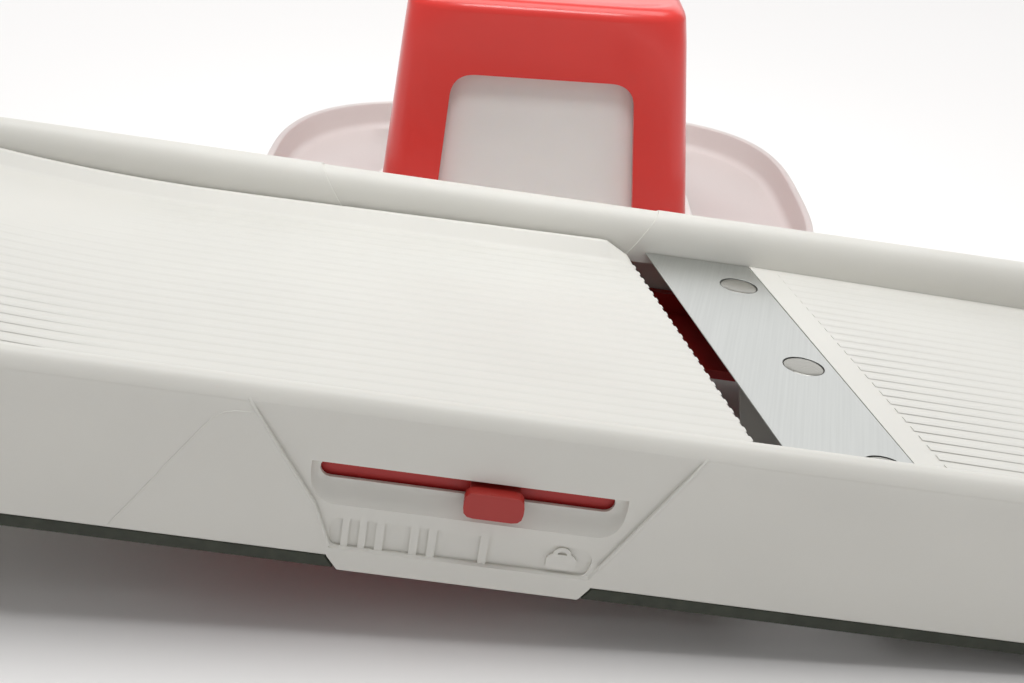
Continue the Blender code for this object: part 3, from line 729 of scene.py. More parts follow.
@dataclass
class RailBody:
    """The white moulding: two side walls with rounded rails, out-feed deck, blade bridge and ends."""

    place: Matrix
    left_end: float = -206.0
    right_end: float = 150.0
    half_width: float = 56.0
    half_bed: float = 48.0
    rail_top: float = 8.2
    crest: float = 52.4
    rail_round: float = 7.0
    end_top: float = 7.6
    wall: float = 3.0
    wall_bottom: float = -19.4
    lip_top: float = -17.3
    lip_inner: float = 50.5
    corner_radius: float = 26.0
    recess: float = 0.45
    recess_growth: float = 0.0142
    chamfer: float = 0.35
    deck_start: float = 74.65
    deck_thickness: float = 2.5
    deck_fall: float = math.radians(1.0)
    deck_margin: float = 5.5
    slot: tuple[float, float, float, float] = (-15.8, 30.4, -6.4, -3.05)
    pivot: Point2 = PLATFORM_PIVOT
    stand: Point2 = (-170.0, -10.5)
    blade_front: float = BLADE_FRONT
    lean: float = BLADE_SLOPE
    panel: tuple[Point2, ...] = ((-12.8, -17.5), (28.1, -17.4), (29.2, -15.6), (43.1, 6.6),
                                 (-28.0, 7.2), (-15.8, -10.2))
    panel_left: tuple[Point2, ...] = ((-13.0, -17.4), (-16.0, -10.3), (-22.0, -1.7), (-26.2, 4.3),
                                      (-27.0, 5.4), (-27.4, 6.0))
    panel_right: tuple[Point2, ...] = ((29.4, -15.6), (37.0, -3.5), (41.2, 3.2), (42.4, 5.1),
                                       (42.9, 5.9))
    moulding_line: tuple[Point2, ...] = ((-47.4, -18.7), (-34.1, 0.5), (-32.6, 2.3), (-31.0, 3.4),
                                         (-29.2, 3.9), (-25.9, 4.0))

    def wall_profile(self, side: int, inset: float = 0.0) -> list[Point2]:
        """Cross-section of a side wall and its rail as (y, z).

        Args:
            side: -1 for the near wall, 1 for the far one.
            inset: Amount by which the rail is drawn in.

        Returns:
            The outline.
        """
        half_steps = 20
        points = [(self.half_width - inset, self.wall_bottom + 0.4)]
        for step in range(2 * half_steps + 1):
            angle = math.pi / 2.0 * step / half_steps
            reach = self.half_width - self.crest if step < half_steps else self.crest - self.half_bed
            points.append((self.crest + (reach - inset) * math.cos(angle),
                           self.rail_top - self.rail_round + (self.rail_round - inset) * math.sin(angle)))
        points += [(self.half_bed + inset, -self.deck_thickness), (self.half_width - self.wall, -3.5),
                   (self.half_width - self.wall, self.lip_top), (self.lip_inner, self.lip_top),
                   (self.lip_inner, self.wall_bottom), (self.half_width - 0.4, self.wall_bottom)]
        return [(side * y, z) for y, z in points]

    def end_plan(self, inset: float, right: float, flare: float = 0.0) -> list[Point2]:
        """Plan of the in-feed end with its rounded corners, drawn in by an inset."""
        half = self.half_width - inset
        radius = self.corner_radius - inset
        x = self.left_end + self.corner_radius
        y = self.half_width - self.corner_radius
        return [(right, -half - flare), (right, half + flare),
                *arc((x, y), radius, 90, 180, 20), *arc((x, -y), radius, 180, 270, 20)]

    def slanted(self, x: Point2, half_y: float, z: Point2, square_right: bool = False) -> bmesh.types.BMesh:
        """Plate whose ends run parallel to the blade, its right one square if asked."""
        near = self.lean * half_y
        right_lean = 0.0 if square_right else near
        outline = [(x[0] + near, -half_y), (x[1] + right_lean, -half_y), (x[1] - right_lean, half_y),
                   (x[0] - near, half_y)]
        return prism(outline, Axis.Z, *z)

    def side_edge(self, left: bool, z: float) -> float:
        """X of the thickness panel's slanted side at a height."""
        foot, head = (self.panel[5], self.panel[4]) if left else (self.panel[2], self.panel[3])
        return head[0] + (z - head[1]) * (head[0] - foot[0]) / (head[1] - foot[1])

    def panel_depth(self, z: float) -> float:
        """Depth of the thickness panel's floor, slightly deeper towards the rail."""
        return self.recess + self.recess_growth * (z - self.wall_bottom)

    def panel_cutter(self, side: int) -> bmesh.types.BMesh:
        """Shallow recess in the outside of a wall, its boundary chamfered."""
        inner = list(self.panel)
        outer = grown(inner, 2.0 * self.chamfer)
        rings = [[(x, side * (self.half_width - self.panel_depth(z)), z) for x, z in inner],
                 [(x, side * (self.half_width + self.panel_depth(z)), z) for x, z in outer]]
        return loft(rings)

    def rail_step(self) -> bmesh.types.BMesh:
        """What the thickness panel takes off the inside of the far rail."""
        low, high = -self.deck_thickness + 0.2, self.rail_top + 3.0
        outline = [(self.side_edge(True, low), low), (self.side_edge(False, low), low),
                   (self.side_edge(False, high), high), (self.side_edge(True, high), high)]
        cutter = Piece("rail_step", prism(outline, Axis.Y, self.half_bed - 2.0, self.half_width + 2.0))
        kept = prism(self.wall_profile(1, 0.25), Axis.X, -60.0, 70.0)
        return cutter.carve("DIFFERENCE", kept).shape()

    def trough(self) -> bmesh.types.BMesh:
        """Finger scoop below the slot, with rounded ends and a soft lower lip."""
        left, right = self.slot[0] - 1.3, self.slot[1] + 1.9
        top = self.slot[3] + 0.02
        outside = -self.half_width - 1.0
        deep = -(self.half_width - self.wall + 0.7)
        section = [(outside, 0.0), (deep - 0.5, 0.0), (deep, 0.07), (deep, 0.44), (deep - 0.3, 0.58),
                   (deep - 0.95, 0.74), (-55.2, 0.87), (-55.75, 0.95), (outside + 0.55, 1.0),
                   (outside, 1.04)]
        end_radius, lip_radius, full_drop = 4.2, 2.2, 7.95
        stations = [0.0, 0.25, 0.6, 1.1, 1.8, 2.6, 3.4, end_radius]
        rings = []
        for x, reach in [(left + s, s) for s in stations] + [(right - s, s) for s in reversed(stations)]:
            drop = full_drop * (0.36 + 0.64 * math.sqrt(1.0 - (1.0 - reach / end_radius) ** 2))
            depth = 0.25 + 0.75 * math.sqrt(1.0 - (1.0 - min(1.0, reach / lip_radius)) ** 2)
            ring = []
            for y, share in section:
                moved = y if y <= -self.half_width else -self.half_width + (y + self.half_width) * depth
                ring.append((x, moved, top - drop * share))
            rings.append(ring)
        return loft(rings)

    def scale_pocket(self) -> bmesh.types.BMesh:
        """Shallow pocket that leaves the thickness marks standing."""
        low, high = -17.5, -12.5
        floor = -(self.half_width - self.recess - 0.55)
        outside = -(self.half_width + 1.0)
        corners = [(-13.2, low), (27.6, low), (28.4, -14.4), (27.4, high), (-13.2, high)]
        pocket = Piece("scale_pocket", prism(rounded(corners, 1.6, 6), Axis.Y, outside, floor))
        bars = [(-11.3, -10.2), (-8.6, -7.5), (-6.0, -4.7), (-0.6, 0.7), (2.2, 3.5), (10.4, 11.7)]
        marks = [block(span, (outside - 1.0, floor + 1.0), (low - 1.0, high + 1.0), 0.1) for span in bars]
        lock = rounded([(21.1, low + 0.7), (25.9, low + 0.7), (25.9, -14.9), (25.2, -14.1), (21.8, -14.1),
                        (21.1, -14.9)], 0.4, 3)
        marks.append(prism(lock, Axis.Y, outside - 1.0, floor + 1.0))
        hoop = Piece("hoop", prism(arc((23.5, -14.3), 1.5, -10, 190, 12), Axis.Y, outside - 1.0, floor + 1.0))
        hoop.carve("DIFFERENCE", prism(arc((23.5, -14.3), 0.8, -20, 200, 12), Axis.Y, -60.0, -50.0))
        marks.append(hoop.shape())
        return pocket.carve("DIFFERENCE", *marks).shape()

    def tab(self, side: int) -> bmesh.types.BMesh:
        """Tongue at the foot of the thickness panel."""
        outline = [(-13.6, self.wall_bottom + 1.2), (-13.2, self.wall_bottom), (-11.4, -21.65),
                   (27.1, -21.65), (28.7, self.wall_bottom), (29.1, self.wall_bottom + 1.2)]
        low, high = sorted((side * (self.half_width - self.wall + 0.2), side * (self.half_width - 0.03)))
        return prism(rounded(outline, 0.5, 3), Axis.Y, low, high)

    def build_wall(self, side: int) -> bmesh.types.BMesh:
        """One side wall with everything that is cut into it."""
        wall = Piece("wall", prism(self.wall_profile(side), Axis.X, self.left_end, self.right_end))
        wall.carve("UNION", self.tab(side))
        cuts = [self.panel_cutter(side)]
        for centre, reach in ((self.stand, (50.0, 60.0)), (self.pivot, (46.0, 52.5))):
            start, end = sorted(side * y for y in reach)
            cuts.append(bore(centre, PIN_HOLE_RADIUS, Axis.Y, start, end))
        if side < 0:
            left, right, low, high = self.slot
            radius = (high - low) / 2.0
            centre_z = (high + low) / 2.0
            ends = [*arc((right - radius, centre_z), radius, -90, 90, 10),
                    *arc((left + radius, centre_z), radius, 90, 270, 10)]
            cuts += [self.trough(), prism(ends, Axis.Y, -60.0, -50.0), self.scale_pocket()]
            for notch in (-17.0, -7.5, 2.0, 14.5):
                cuts.append(block((notch - 1.0, notch + 1.0), (-51.3, -50.0), (-20.0, -16.3), 0.2, Axis.Z))
        else:
            cuts.append(self.rail_step())
        wall.carve("DIFFERENCE", *cuts)
        wall.carve("INTERSECT", prism(self.end_plan(0.0, self.right_end + 2.0, 2.0), Axis.Z, -30.0, 20.0))
        return wall.shape()

    def build_deck(self) -> bmesh.types.BMesh:
        """Out-feed deck, falling gently away from the blade."""
        shape = self.slanted((self.deck_start, self.right_end - 0.4), self.half_bed + 1.0,
                             (-self.deck_thickness, 0.0), True)
        for vert in shape.verts:
            vert.co.z -= max(0.0, vert.co.x - self.deck_start) * math.tan(self.deck_fall)
        return shape

    def build_end(self) -> bmesh.types.BMesh:
        """In-feed end plate with its skirt and hanging hole."""
        top = self.end_top
        rings = []
        for inset, z in ((3.4, -12.0), (0.5, -12.0), (0.05, -11.5), (0.05, top - 3.2), (0.35, top - 1.7),
                         (1.1, top - 0.7), (2.0, top - 0.15), (3.0, top)):
            outline = self.end_plan(inset, -139.0)
            rings.append([(x, math.copysign(min(abs(y), 53.2), y), z) for x, y in outline])
        end = Piece("end", loft(rings))
        pocket = prism(self.end_plan(3.3, -130.0), Axis.Z, -14.0, 4.4)
        hole = []
        for reach, z in ((8.4, top + 1.0), (7.9, top), (7.2, top - 0.7), (7.0, top - 1.5), (7.0, 2.0)):
            outline = [*arc((-188.0, 12.0), reach, 0, 180, 16), *arc((-188.0, -12.0), reach, 180, 360, 16)]
            hole.append([(x, y, z) for x, y in outline])
        end.carve("DIFFERENCE", pocket, loft(hole))
        return end.shape()

    def build_ribs(self, tree: RepeatTree) -> None:
        """Low ribs along the out-feed deck, stopping short of the blade."""
        start = self.deck_start + self.deck_margin
        fall = math.tan(self.deck_fall)
        path = [(start, 0.0, -fall * self.deck_margin),
                (self.right_end - 3.0, 0.0, -fall * (self.right_end - 3.0 - self.deck_start))]
        ribs = bed_ribs(tree, "outfeed_deck_ribs", path, 28, 0.10, self.right_end, start)
        ribs.settle(self.place, WHITE, Body.SLICER, slot="white_plastic")

    def wall_surface(self, z: float) -> float:
        """Distance of a wall's outside from the middle at a height."""
        rise = max(0.0, z - self.rail_top + self.rail_round) / self.rail_round
        return self.crest + (self.half_width - self.crest) * math.sqrt(1.0 - rise * rise)

    def ridge(self, side: int, course: Sequence[Point2], height: float, width: float) -> bmesh.types.BMesh:
        """Thin raised line on the outside of a wall.

        Args:
            side: -1 for the near wall, 1 for the far one.
            course: Its course as (x, z).
            height: How far it stands out.
            width: Its width.

        Returns:
            A closed bar sunk a little into the wall.
        """
        section = ((-0.5, -0.5), (-0.5, 0.0), (-0.25, 0.8), (0.0, 1.0), (0.25, 0.8), (0.5, 0.0), (0.5, -0.5))
        rings = []
        for i, (x, z) in enumerate(course):
            along = Vector(course[min(i + 1, len(course) - 1)]) - Vector(course[max(i - 1, 0)])
            along.normalize()
            ring = []
            for across, out in section:
                level = z + along.x * across * width
                distance = self.wall_surface(level) + out * height
                ring.append((x - along.y * across * width, side * distance, level))
            rings.append(ring)
        return loft(rings)

    def build(self, ribs: RepeatTree) -> None:
        """Build the moulding and dress it.

        Args:
            ribs: Tree that makes rows of beads.
        """
        body = Piece("rail_body", self.build_wall(-1))
        rib_side = rounded([(56.5, -2.0), (60.0, -16.5), (108.0, -16.5), (116.0, -2.0)], 0.8)
        rib = prism(rib_side, Axis.Y, -2.9, -0.4)
        bridge = self.slanted((self.blade_front + 3.0, self.deck_start + 6.0), self.half_bed + 1.5,
                              (-3.4, -1.1))
        body.add(self.build_wall(1), self.build_deck(), self.build_end(), bridge, rib,
                 block((147.2, self.right_end), (-53.4, 53.4), (-17.5, -1.7), 0.7, Axis.Y),
                 block((-78.0, -68.0), (-52.0, 52.0), (-19.2, -17.6), 0.5, Axis.Y))
        body.settle(self.place, WHITE, Body.SLICER, ["slicer_body"], "white_plastic", 28.0)
        self.build_ribs(ribs)
        for side_name, side in (("near", -1), ("far", 1)):
            lines = Piece("wall_lines_" + side_name, self.ridge(side, self.moulding_line, 0.09, 0.22))
            lines.add(self.ridge(side, self.panel_left, 0.18, 0.5),
                      self.ridge(side, self.panel_right, 0.18, 0.5))
            lines.settle(self.place, WHITE, Body.SLICER, slot="white_plastic")


# ------------------------------------------------------------------ platform, blade and slider

@dataclass
class Platform:
    """White in-feed platform with raised lips and ribs, tilting about its rod."""

    place: Matrix
    left: float = -138.0
    edge: float = 48.2
    half_width: float = 47.5
    thickness: float = 2.2
    edge_height: float = -1.3
    slope: float = 0.004
    curve_start: float = -50.0
    curve: float = 0.0013
    pivot: Point2 = PLATFORM_PIVOT
    lean: float = BLADE_SLOPE

    def height(self, x: float) -> float:
        """Height of the bed: almost flat, then sweeping up to the in-feed end."""
        rise = max(0.0, self.curve_start - x)
        return self.edge_height + (x - self.edge) * self.slope + self.curve * rise * rise

    def lip(self, x: float, edge: float) -> float:
        """Height of the side lips above the bed."""
        if x > edge - 5.5:
            return 3.3 - 3.1 * (x - (edge - 5.5)) / 5.5
        if x < -95.0:
            return 0.3 + 2.3 * (x - self.left) / (-95.0 - self.left)
        return 2.6 + 0.7 * min(1.0, max(0.0, (x + 40.0) / 75.0))

    def section(self) -> list[tuple[float, float, float]]:
        """Half of the cross-section: distance from the centre, drop, and share of the lip's height."""
        half = self.half_width
        lip = [(half, 0.0, 0.80), (half - 0.08, 0.0, 0.91), (half - 0.3, 0.0, 0.98), (half - 0.6, 0.0, 1.0),
               (half - 0.95, 0.0, 0.99), (half - 1.3, 0.0, 0.93), (half - 3.6, 0.0, 0.16),
               (half - 4.2, 0.0, 0.04), (half - 5.0, 0.0, 0.0)]
        return [(half - 0.3, -self.thickness, 0.0), (half, -self.thickness + 0.3, 0.0), *lip]

    def skin(self) -> bmesh.types.BMesh:
        """Bed, lips and underside, swept from the in-feed end to the blade."""
        stations = [self.left + 2.0 * i for i in range(45)]
        stations += [self.curve_start + 10.0 * i for i in range(1, 9)]
        run = self.edge - self.left
        shares = [(x - self.left) / run for x in stations if x < self.edge - 9.0]
        shares += [1.0 - d / run for d in (7.0, 5.5, 4.6, 3.4, 2.0, 1.0, 0.35, 0.0)]
        rings = []
        half = self.section()
        whole = half + [(-y, drop, lift) for y, drop, lift in reversed(half)]
        for share in shares:
            ring = []
            for y, drop, lift in whole:
                edge = self.edge - self.lean * y
                x = self.left + share * (edge - self.left)
                rounding = 0.3 * max(0.0, 1.0 - (1.0 - share) * run / 0.35) if drop == 0.0 else 0.0
                ring.append((x, y, self.height(x) + drop + lift * self.lip(x, edge) - rounding))
            rings.append(ring)
        return loft(rings)

    def tongue(self) -> bmesh.types.BMesh:
        """Ledge that sticks out under the platform's edge."""
        low, high = -47.3, 20.0
        reach = self.edge + 1.5
        outline = [(self.edge - 4.0 - self.lean * low, low), (reach - self.lean * low, low),
                   (reach - self.lean * high, high), (self.edge - 4.0 - self.lean * high, high - 1.6)]
        return prism(rounded(outline, 0.4, 3), Axis.Z, -6.2, -4.9)

    def underside(self) -> list[bmesh.types.BMesh]:
        """Stiffening ribs, hinge lugs and the feet that ride on the ramps."""
        shapes = []
        pivot_x = self.pivot[0]
        for y in (-30.0, 30.0):
            shapes.append(prism(rounded([(-62.0, -2.9), (-60.0, -6.5), (31.0, -6.5), (33.0, -2.9)], 1.0),
                                Axis.Y, y - 1.0, y + 1.0))
        for y in (-30.0, 0.0, 30.0):
            outer = [(pivot_x - 3.8, 6.0), *arc(self.pivot, 3.8, 180, 360, 16), (pivot_x + 3.8, 5.0)]
            lug = Piece("lug", prism(outer, Axis.Y, y - 2.5, y + 2.5))
            rod_hole = bore(self.pivot, PIN_HOLE_RADIUS, Axis.Y, y - 5.0, y + 5.0)
            shapes.append(lug.carve("DIFFERENCE", rod_hole).shape())
        for y in (-40.0, 40.0):
            foot = rounded([(-25.0, -2.8), (-21.5, -10.8), (-18.5, -10.8), (-15.0, -2.8)], 0.8)
            shapes.append(prism(foot, Axis.Y, y - 1.5, y + 1.5))
        return shapes

    def build(self, ribs: RepeatTree) -> None:
        """Build the platform and its ribs.

        Args:
            ribs: Tree that makes rows of beads.
        """
        plate = Piece("platform_bed", self.skin()).add(self.tongue(), *self.underside())
        plate.settle(self.place, WHITE, Body.PLATFORM, ["infeed_platform"], "white_plastic", 40.0)
        start, end = -120.0, self.edge - 0.05
        steps = 40
        stations = [start + (end - start) * i / steps for i in range(steps + 1)]
        path = [(x, 0.0, self.height(x) - 0.02) for x in stations]
        strip = bed_ribs(ribs, "platform_ribs", path, 26, 0.13, self.left, self.edge)
        strip.settle(self.place, WHITE, Body.PLATFORM, slot="white_plastic")


@dataclass
class Blade:
    """Slanted steel strip with three flush rivets."""

    place: Matrix
    front: float = BLADE_FRONT
    width: float = 22.5
    thickness: float = 0.8
    half_length: float = 47.7
    lean: float = BLADE_SLOPE
    rivet_centre_y: float = -1.3
    rivet_spacing: float = 36.9
    rivet_offset: float = 16.4
    rivet_radius: float = 3.75
    rivet_facets: int = 64

    def rivet_x(self, y: float) -> float:
        """X of a rivet at a given Y."""
        return self.front + self.rivet_offset - self.lean * y

    def build(self, copies: RepeatTree) -> None:
        """Build the blade and its rivets.

        Args:
            copies: Tree that makes rows of copies.
        """
        back = self.front + self.width
        profile = [(self.front, -0.12), (self.front + 0.05, -0.03), (self.front + 0.5, 0.0),
                   (back - 0.1, 0.0), (back, -0.1), (back, -self.thickness),
                   (self.front + 2.2, -self.thickness)]
        rings = [[(x - self.lean * y, y, z) for x, z in profile]
                 for y in (-self.half_length, self.half_length)]
        strip = Piece("blade_strip", loft(rings))
        rows = [self.rivet_centre_y + step * self.rivet_spacing for step in (-1, 0, 1)]
        holes = []
        for y in rows:
            rings = []
            for radius, z in ((self.rivet_radius + 0.75, 0.5), (self.rivet_radius + 0.25, -0.02),
                              (self.rivet_radius + 0.2, -2.0)):
                round_edge = circle((self.rivet_x(y), y), radius, self.rivet_facets)
                rings.append([(x, v, z) for x, v in round_edge])
            holes.append(loft(rings))
        strip.carve("DIFFERENCE", *holes)
        strip.settle(self.place, STEEL, Body.SLICER, ["blade"], "blade_steel", 20.0)
        r = self.rivet_radius
        head = [(0.0, 0.12), (r * 0.55, 0.11), (r * 0.8, 0.06), (r * 0.93, 0.0), (r, -0.12), (r, -0.9),
                (2.0, -0.95), (1.9, -3.9), (0.0, -4.0)]
        rivets = Piece("blade_rivets", lathe(head, self.rivet_facets))
        first = rows[0]
        copies.run(rivets, RIVET_STEEL, Count=3, Start=(self.rivet_x(first), first, 0.0),
                   Step=(-self.lean * self.rivet_spacing, self.rivet_spacing, 0.0), Rows=1)
        rivets.settle(self.place, RIVET_STEEL, Body.SLICER,
                      ["blade_rivet_far", "blade_rivet_mid", "blade_rivet_near"], "rivet_steel")


@dataclass
class ThicknessKnob:
    """Red thumb knob that stands out of the slot."""

    place: Matrix
    centre: float = 11.5
    width: float = 9.4

    def build(self) -> None:
        """Build the knob with soft corners."""
        half = self.width / 2.0
        span = (self.centre - half, self.centre + half)
        knob = Piece("thumb_knob", block(span, (-57.5, -55.3), (-8.4, -3.9), 1.7, Axis.Y))
        knob.carve("UNION", block((span[0] + 0.8, span[1] - 0.8), (-55.9, -52.9), (-5.6, -4.2), 0.4))
        knob.soften(0.5, 50.0, 4)
        # The knob takes the darker copy of the red plastic: painted shade.
        knob.settle(self.place, RED_PAINTED_SHADE_KNOB, Body.SLIDER, ["slider_knob"], "red_plastic")


@dataclass
class SoftStrips:
    """Dark rubber strips under the walls and the out-feed feet."""

    place: Matrix
    pitch: float
    top: float = -19.42
    bottom: float = -21.6
    contact: float = 148.0

    def table(self, x: float) -> float:
        """Height of the table under the slicer."""
        return self.bottom - (self.contact - x) * math.tan(self.pitch)

    def build(self) -> None:
        """Build the four strips and two feet."""
        outlines = {
            "rubber_strip_{}_infeed": [(-160.0, self.top), (-160.0, self.bottom), (-12.0, self.bottom),
                                       (-13.6, self.top)],
            "rubber_strip_{}_outfeed": [(29.1, self.top), (27.6, self.bottom), (126.0, self.bottom),
                                        (126.0, self.top)],
            "outfeed_foot_{}": [(128.0, self.top), (self.contact, self.top), (self.contact, self.bottom),
                                (128.0, self.table(128.0))]}
        for side_name, side in (("near", -1), ("far", 1)):
            low, high = sorted((side * 51.0, side * 55.75))
            for pattern, outline in outlines.items():
                node = pattern.format(side_name)
                strip = Piece(node + "_moulding", prism(outline, Axis.Y, low, high))
                strip.soften(0.25 if "strip" in node else 0.4, 40.0, 3)
                strip.settle(self.place, RUBBER, Body.SLICER, [node], "dark_rubber")


# ------------------------------------------------------------------ food holder

@dataclass
class FoodHolder:
    """Clear guard, white chimney and red handle cap, with the pronged plunger inside."""

    place: Matrix
    guard_half: Point2 = (72.7, 69.5)
    guard_power: float = 3.2
    handle_bottom: float = 12.0
    handle_top: float = 67.0
    handle_half: Point2 = (40.85, 20.0)
    taper: float = 0.105
    core_top: float = 60.0
    count: int = 144

    def outline(self, half: Point2, power: float, z: float) -> list[Point3]:
        """Level ring at a height."""
        return [(x, y, z) for x, y in superellipse(half[0], half[1], power, self.count)]

    def handle_at(self, z: float) -> Point2:
        """Half length and half depth of the cap at a height."""
        drop = z - self.handle_bottom
        return self.handle_half[0] - self.taper * drop, self.handle_half[1] - 0.02 * drop

    def core_at(self, z: float) -> Point2:
        """Half length and half depth of the chimney at a height."""
        return 37.0 - self.taper * (z - 11.3), 16.0 - 0.02 * (z - 11.3)

    def build_guard(self) -> None:
        """Guard plate with its upturned rim and two guide flanges."""
        profile = [(5.6, 7.0), (4.2, 7.15), (3.1, 7.6), (2.2, 8.4), (1.6, 9.5), (0.9, 12.0), (0.15, 15.2),
                   (0.0, 15.7), (0.35, 16.0), (1.5, 16.0), (1.95, 15.7), (2.4, 13.6), (3.1, 10.9),
                   (3.7, 9.9), (4.6, 9.3), (5.8, 9.0)]
        rings = [self.outline((self.guard_half[0] - inset, self.guard_half[1] - inset), self.guard_power, z)
                 for inset, z in profile]
        for z, grow in ((9.0, 0.25), (8.75, 0.0), (7.0, 0.0)):
            rings.append(self.outline((33.5 + grow, 13.0 + grow), 6.0, z))
        guard = Piece("guard_dish", loft(rings, closed=True))
        guard.add(block((-48.0, 48.0), (57.3, 60.0), (0.0, 7.6), 0.8),
                  block((-48.0, 48.0), (-60.0, -57.3), (0.0, 7.6), 0.8))
        guard.settle(self.place, CLEAR, Body.HOLDER, ["guard_plate"], "guard_plastic", 50.0)

    def build_core(self) -> None:
        """White chimney with a flange over the guard."""
        wall = 2.2
        base, top, inner = self.core_at(11.3), self.core_at(self.core_top), self.core_at(self.core_top - 2.5)
        rings = [self.outline((43.0, 21.0), 5.0, 9.3), self.outline((43.0, 21.0), 5.0, 10.8),
                 self.outline((42.5, 20.5), 5.0, 11.3)]
        for grow, z in ((1.1, 11.3), (0.4, 11.7), (0.0, 12.6)):
            rings.append(self.outline((base[0] + grow, base[1] + grow), 7.0, z))
        for inset, z in ((0.0, self.core_top - 1.6), (0.25, self.core_top - 0.7), (0.8, self.core_top - 0.15),
                         (1.6, self.core_top)):
            rings.append(self.outline((top[0] - inset, top[1] - inset), 7.0, z))
        rings += [self.outline((5.3, 5.3), 2.0, self.core_top),
                  self.outline((5.3, 5.3), 2.0, self.core_top - 2.5),
                  self.outline((inner[0] - wall, inner[1] - wall), 7.0, self.core_top - 2.5),
                  self.outline((base[0] - wall, base[1] - wall), 7.0, 9.3)]
        core = Piece("chimney", loft(rings, closed=True))
        # The chimney takes the lighter copy of the white plastic: painted light.
        core.settle(self.place, WHITE_PAINTED_LIGHT, Body.HOLDER, ["holder_core"], "white_plastic", 40.0)

    def window(self) -> list[Point2]:
        """Arched window of the cap's broad faces."""
        corners = [(-26.6, 2.0), (26.6, 2.0), (22.9, 48.0), (-22.9, 48.0)]
        return rounded(corners, 6.5, 14)

    def build_handle(self) -> None:
        """Red cap: a tapered saddle with a dished top and a window in each broad face."""
        rings = [self.outline(self.handle_at(self.handle_bottom), 6.0, self.handle_bottom)]
        for z in (20.0, 30.0, 40.0, 50.0, 58.0):
            rings.append(self.outline(self.handle_at(z), 6.0, z))
        radius = 3.6
        centre_z = self.handle_top - 0.2 - radius
        for angle in range(0, 91, 10):
            z = centre_z + radius * math.sin(math.radians(angle))
            inset = radius * (1.0 - math.cos(math.radians(angle)))
            half = self.handle_at(z)
            rings.append(self.outline((half[0] - inset, half[1] - inset), 5.0, z))
        crown = self.handle_at(self.handle_top)
        for share, drop in ((0.86, 0.25), (0.74, 0.75), (0.55, 1.2), (0.3, 1.45), (0.08, 1.5)):
            half = (crown[0] - radius - (1 - share) * 14.0, (crown[1] - radius) * share)
            rings.append(self.outline(half, 4.0, self.handle_top - 0.2 - drop))
        low, high = self.core_at(self.handle_bottom - 1.0), self.core_at(self.core_top + 0.6)
        hollow = loft([self.outline((low[0] + 0.6, low[1] + 0.6), 7.0, self.handle_bottom - 1.0),
                       self.outline((high[0] + 0.6, high[1] + 0.6), 7.0, self.core_top + 0.6)])
        cap = Piece("handle_shell", loft(rings))
        cap.carve("DIFFERENCE", hollow, prism(self.window(), Axis.Y, -25.0, -10.0),
                  prism(self.window(), Axis.Y, 10.0, 25.0))
        cap.soften(0.55, 55.0, 3)
        cap.settle(self.place, RED, Body.PLUNGER, ["handle_cap"], "red_plastic", 45.0)

    def build_prongs(self, copies: RepeatTree) -> None:
        """Steel prongs under the pusher plate.

        Args:
            copies: Tree that makes rows of copies.
        """
        profile = [(0.0, 1.1), (0.18, 1.25), (0.9, 3.4), (0.9, 7.9), (1.25, 8.1), (1.25, 8.3), (0.0, 8.3)]
        prongs = Piece("prongs", lathe(profile, 24))
        copies.run(prongs, RIVET_STEEL, Count=3, Start=(-22.0, -8.0, 0.0), Step=(22.0, 0.0, 0.0), Rows=2,
                   Row_Step=(0.0, 16.0, 0.0))
        prongs.settle(self.place, RIVET_STEEL, Body.PLUNGER, ["prong_%d" % i for i in range(1, 7)],
                      "rivet_steel")

    def build_pusher(self) -> None:
        """White pusher plate with a softened edge and a hole for its screw."""
        half = (31.0, 12.4)
        rings = []
        for inset, z in ((1.0, 8.3), (0.3, 8.5), (0.0, 8.9), (0.0, 10.3), (0.4, 10.7), (1.1, 10.8)):
            rings.append(self.outline((half[0] - inset, half[1] - inset), 6.0, z))
        plate = Piece("pusher_board", loft(rings))
        screw_hole_radius = 1.9
        plate.carve("DIFFERENCE", bore((0.0, 0.0), screw_hole_radius, Axis.Z, 0.0, 20.0))
        plate.settle(self.place, WHITE, Body.PLUNGER, ["pusher_plate"], "white_plastic", 40.0)

    def build(self, copies: RepeatTree) -> None:
        """Build the whole holder.

        Args:
            copies: Tree that makes rows of copies.
        """
        self.build_guard()
        self.build_core()
        self.build_handle()
        self.build_pusher()
        self.build_prongs(copies)


# ------------------------------------------------------------------ carried-over nodes and studio

@dataclass
class CarriedNodes:
    """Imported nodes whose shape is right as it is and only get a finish."""

    nodes: dict[str, bpy.types.Object]
    finishes: dict[str, Finish] = field(default_factory=lambda: {
        # The carriage takes the darker copy of the red plastic: painted shade.
        "slider_carriage": RED_PAINTED_SHADE_CARRIAGE, "detent_spring": ROD_STEEL, "platform_pivot_rod": ROD_STEEL,
        "stand_pin_near": ROD_STEEL, "stand_pin_far": ROD_STEEL, "stand_leg": WHITE,
        "stand_foot_near": RUBBER, "stand_foot_far": RUBBER, "plunger_stem": WHITE,
        "pusher_screw": RIVET_STEEL})

    def dress(self) -> None:
        """Give each node its finish."""
        for name, finish in self.finishes.items():
            node = self.nodes[name]
            node.data.materials.clear()
            node.data.materials.append(finish.material())
            LOG.info("%s: carried over", name)


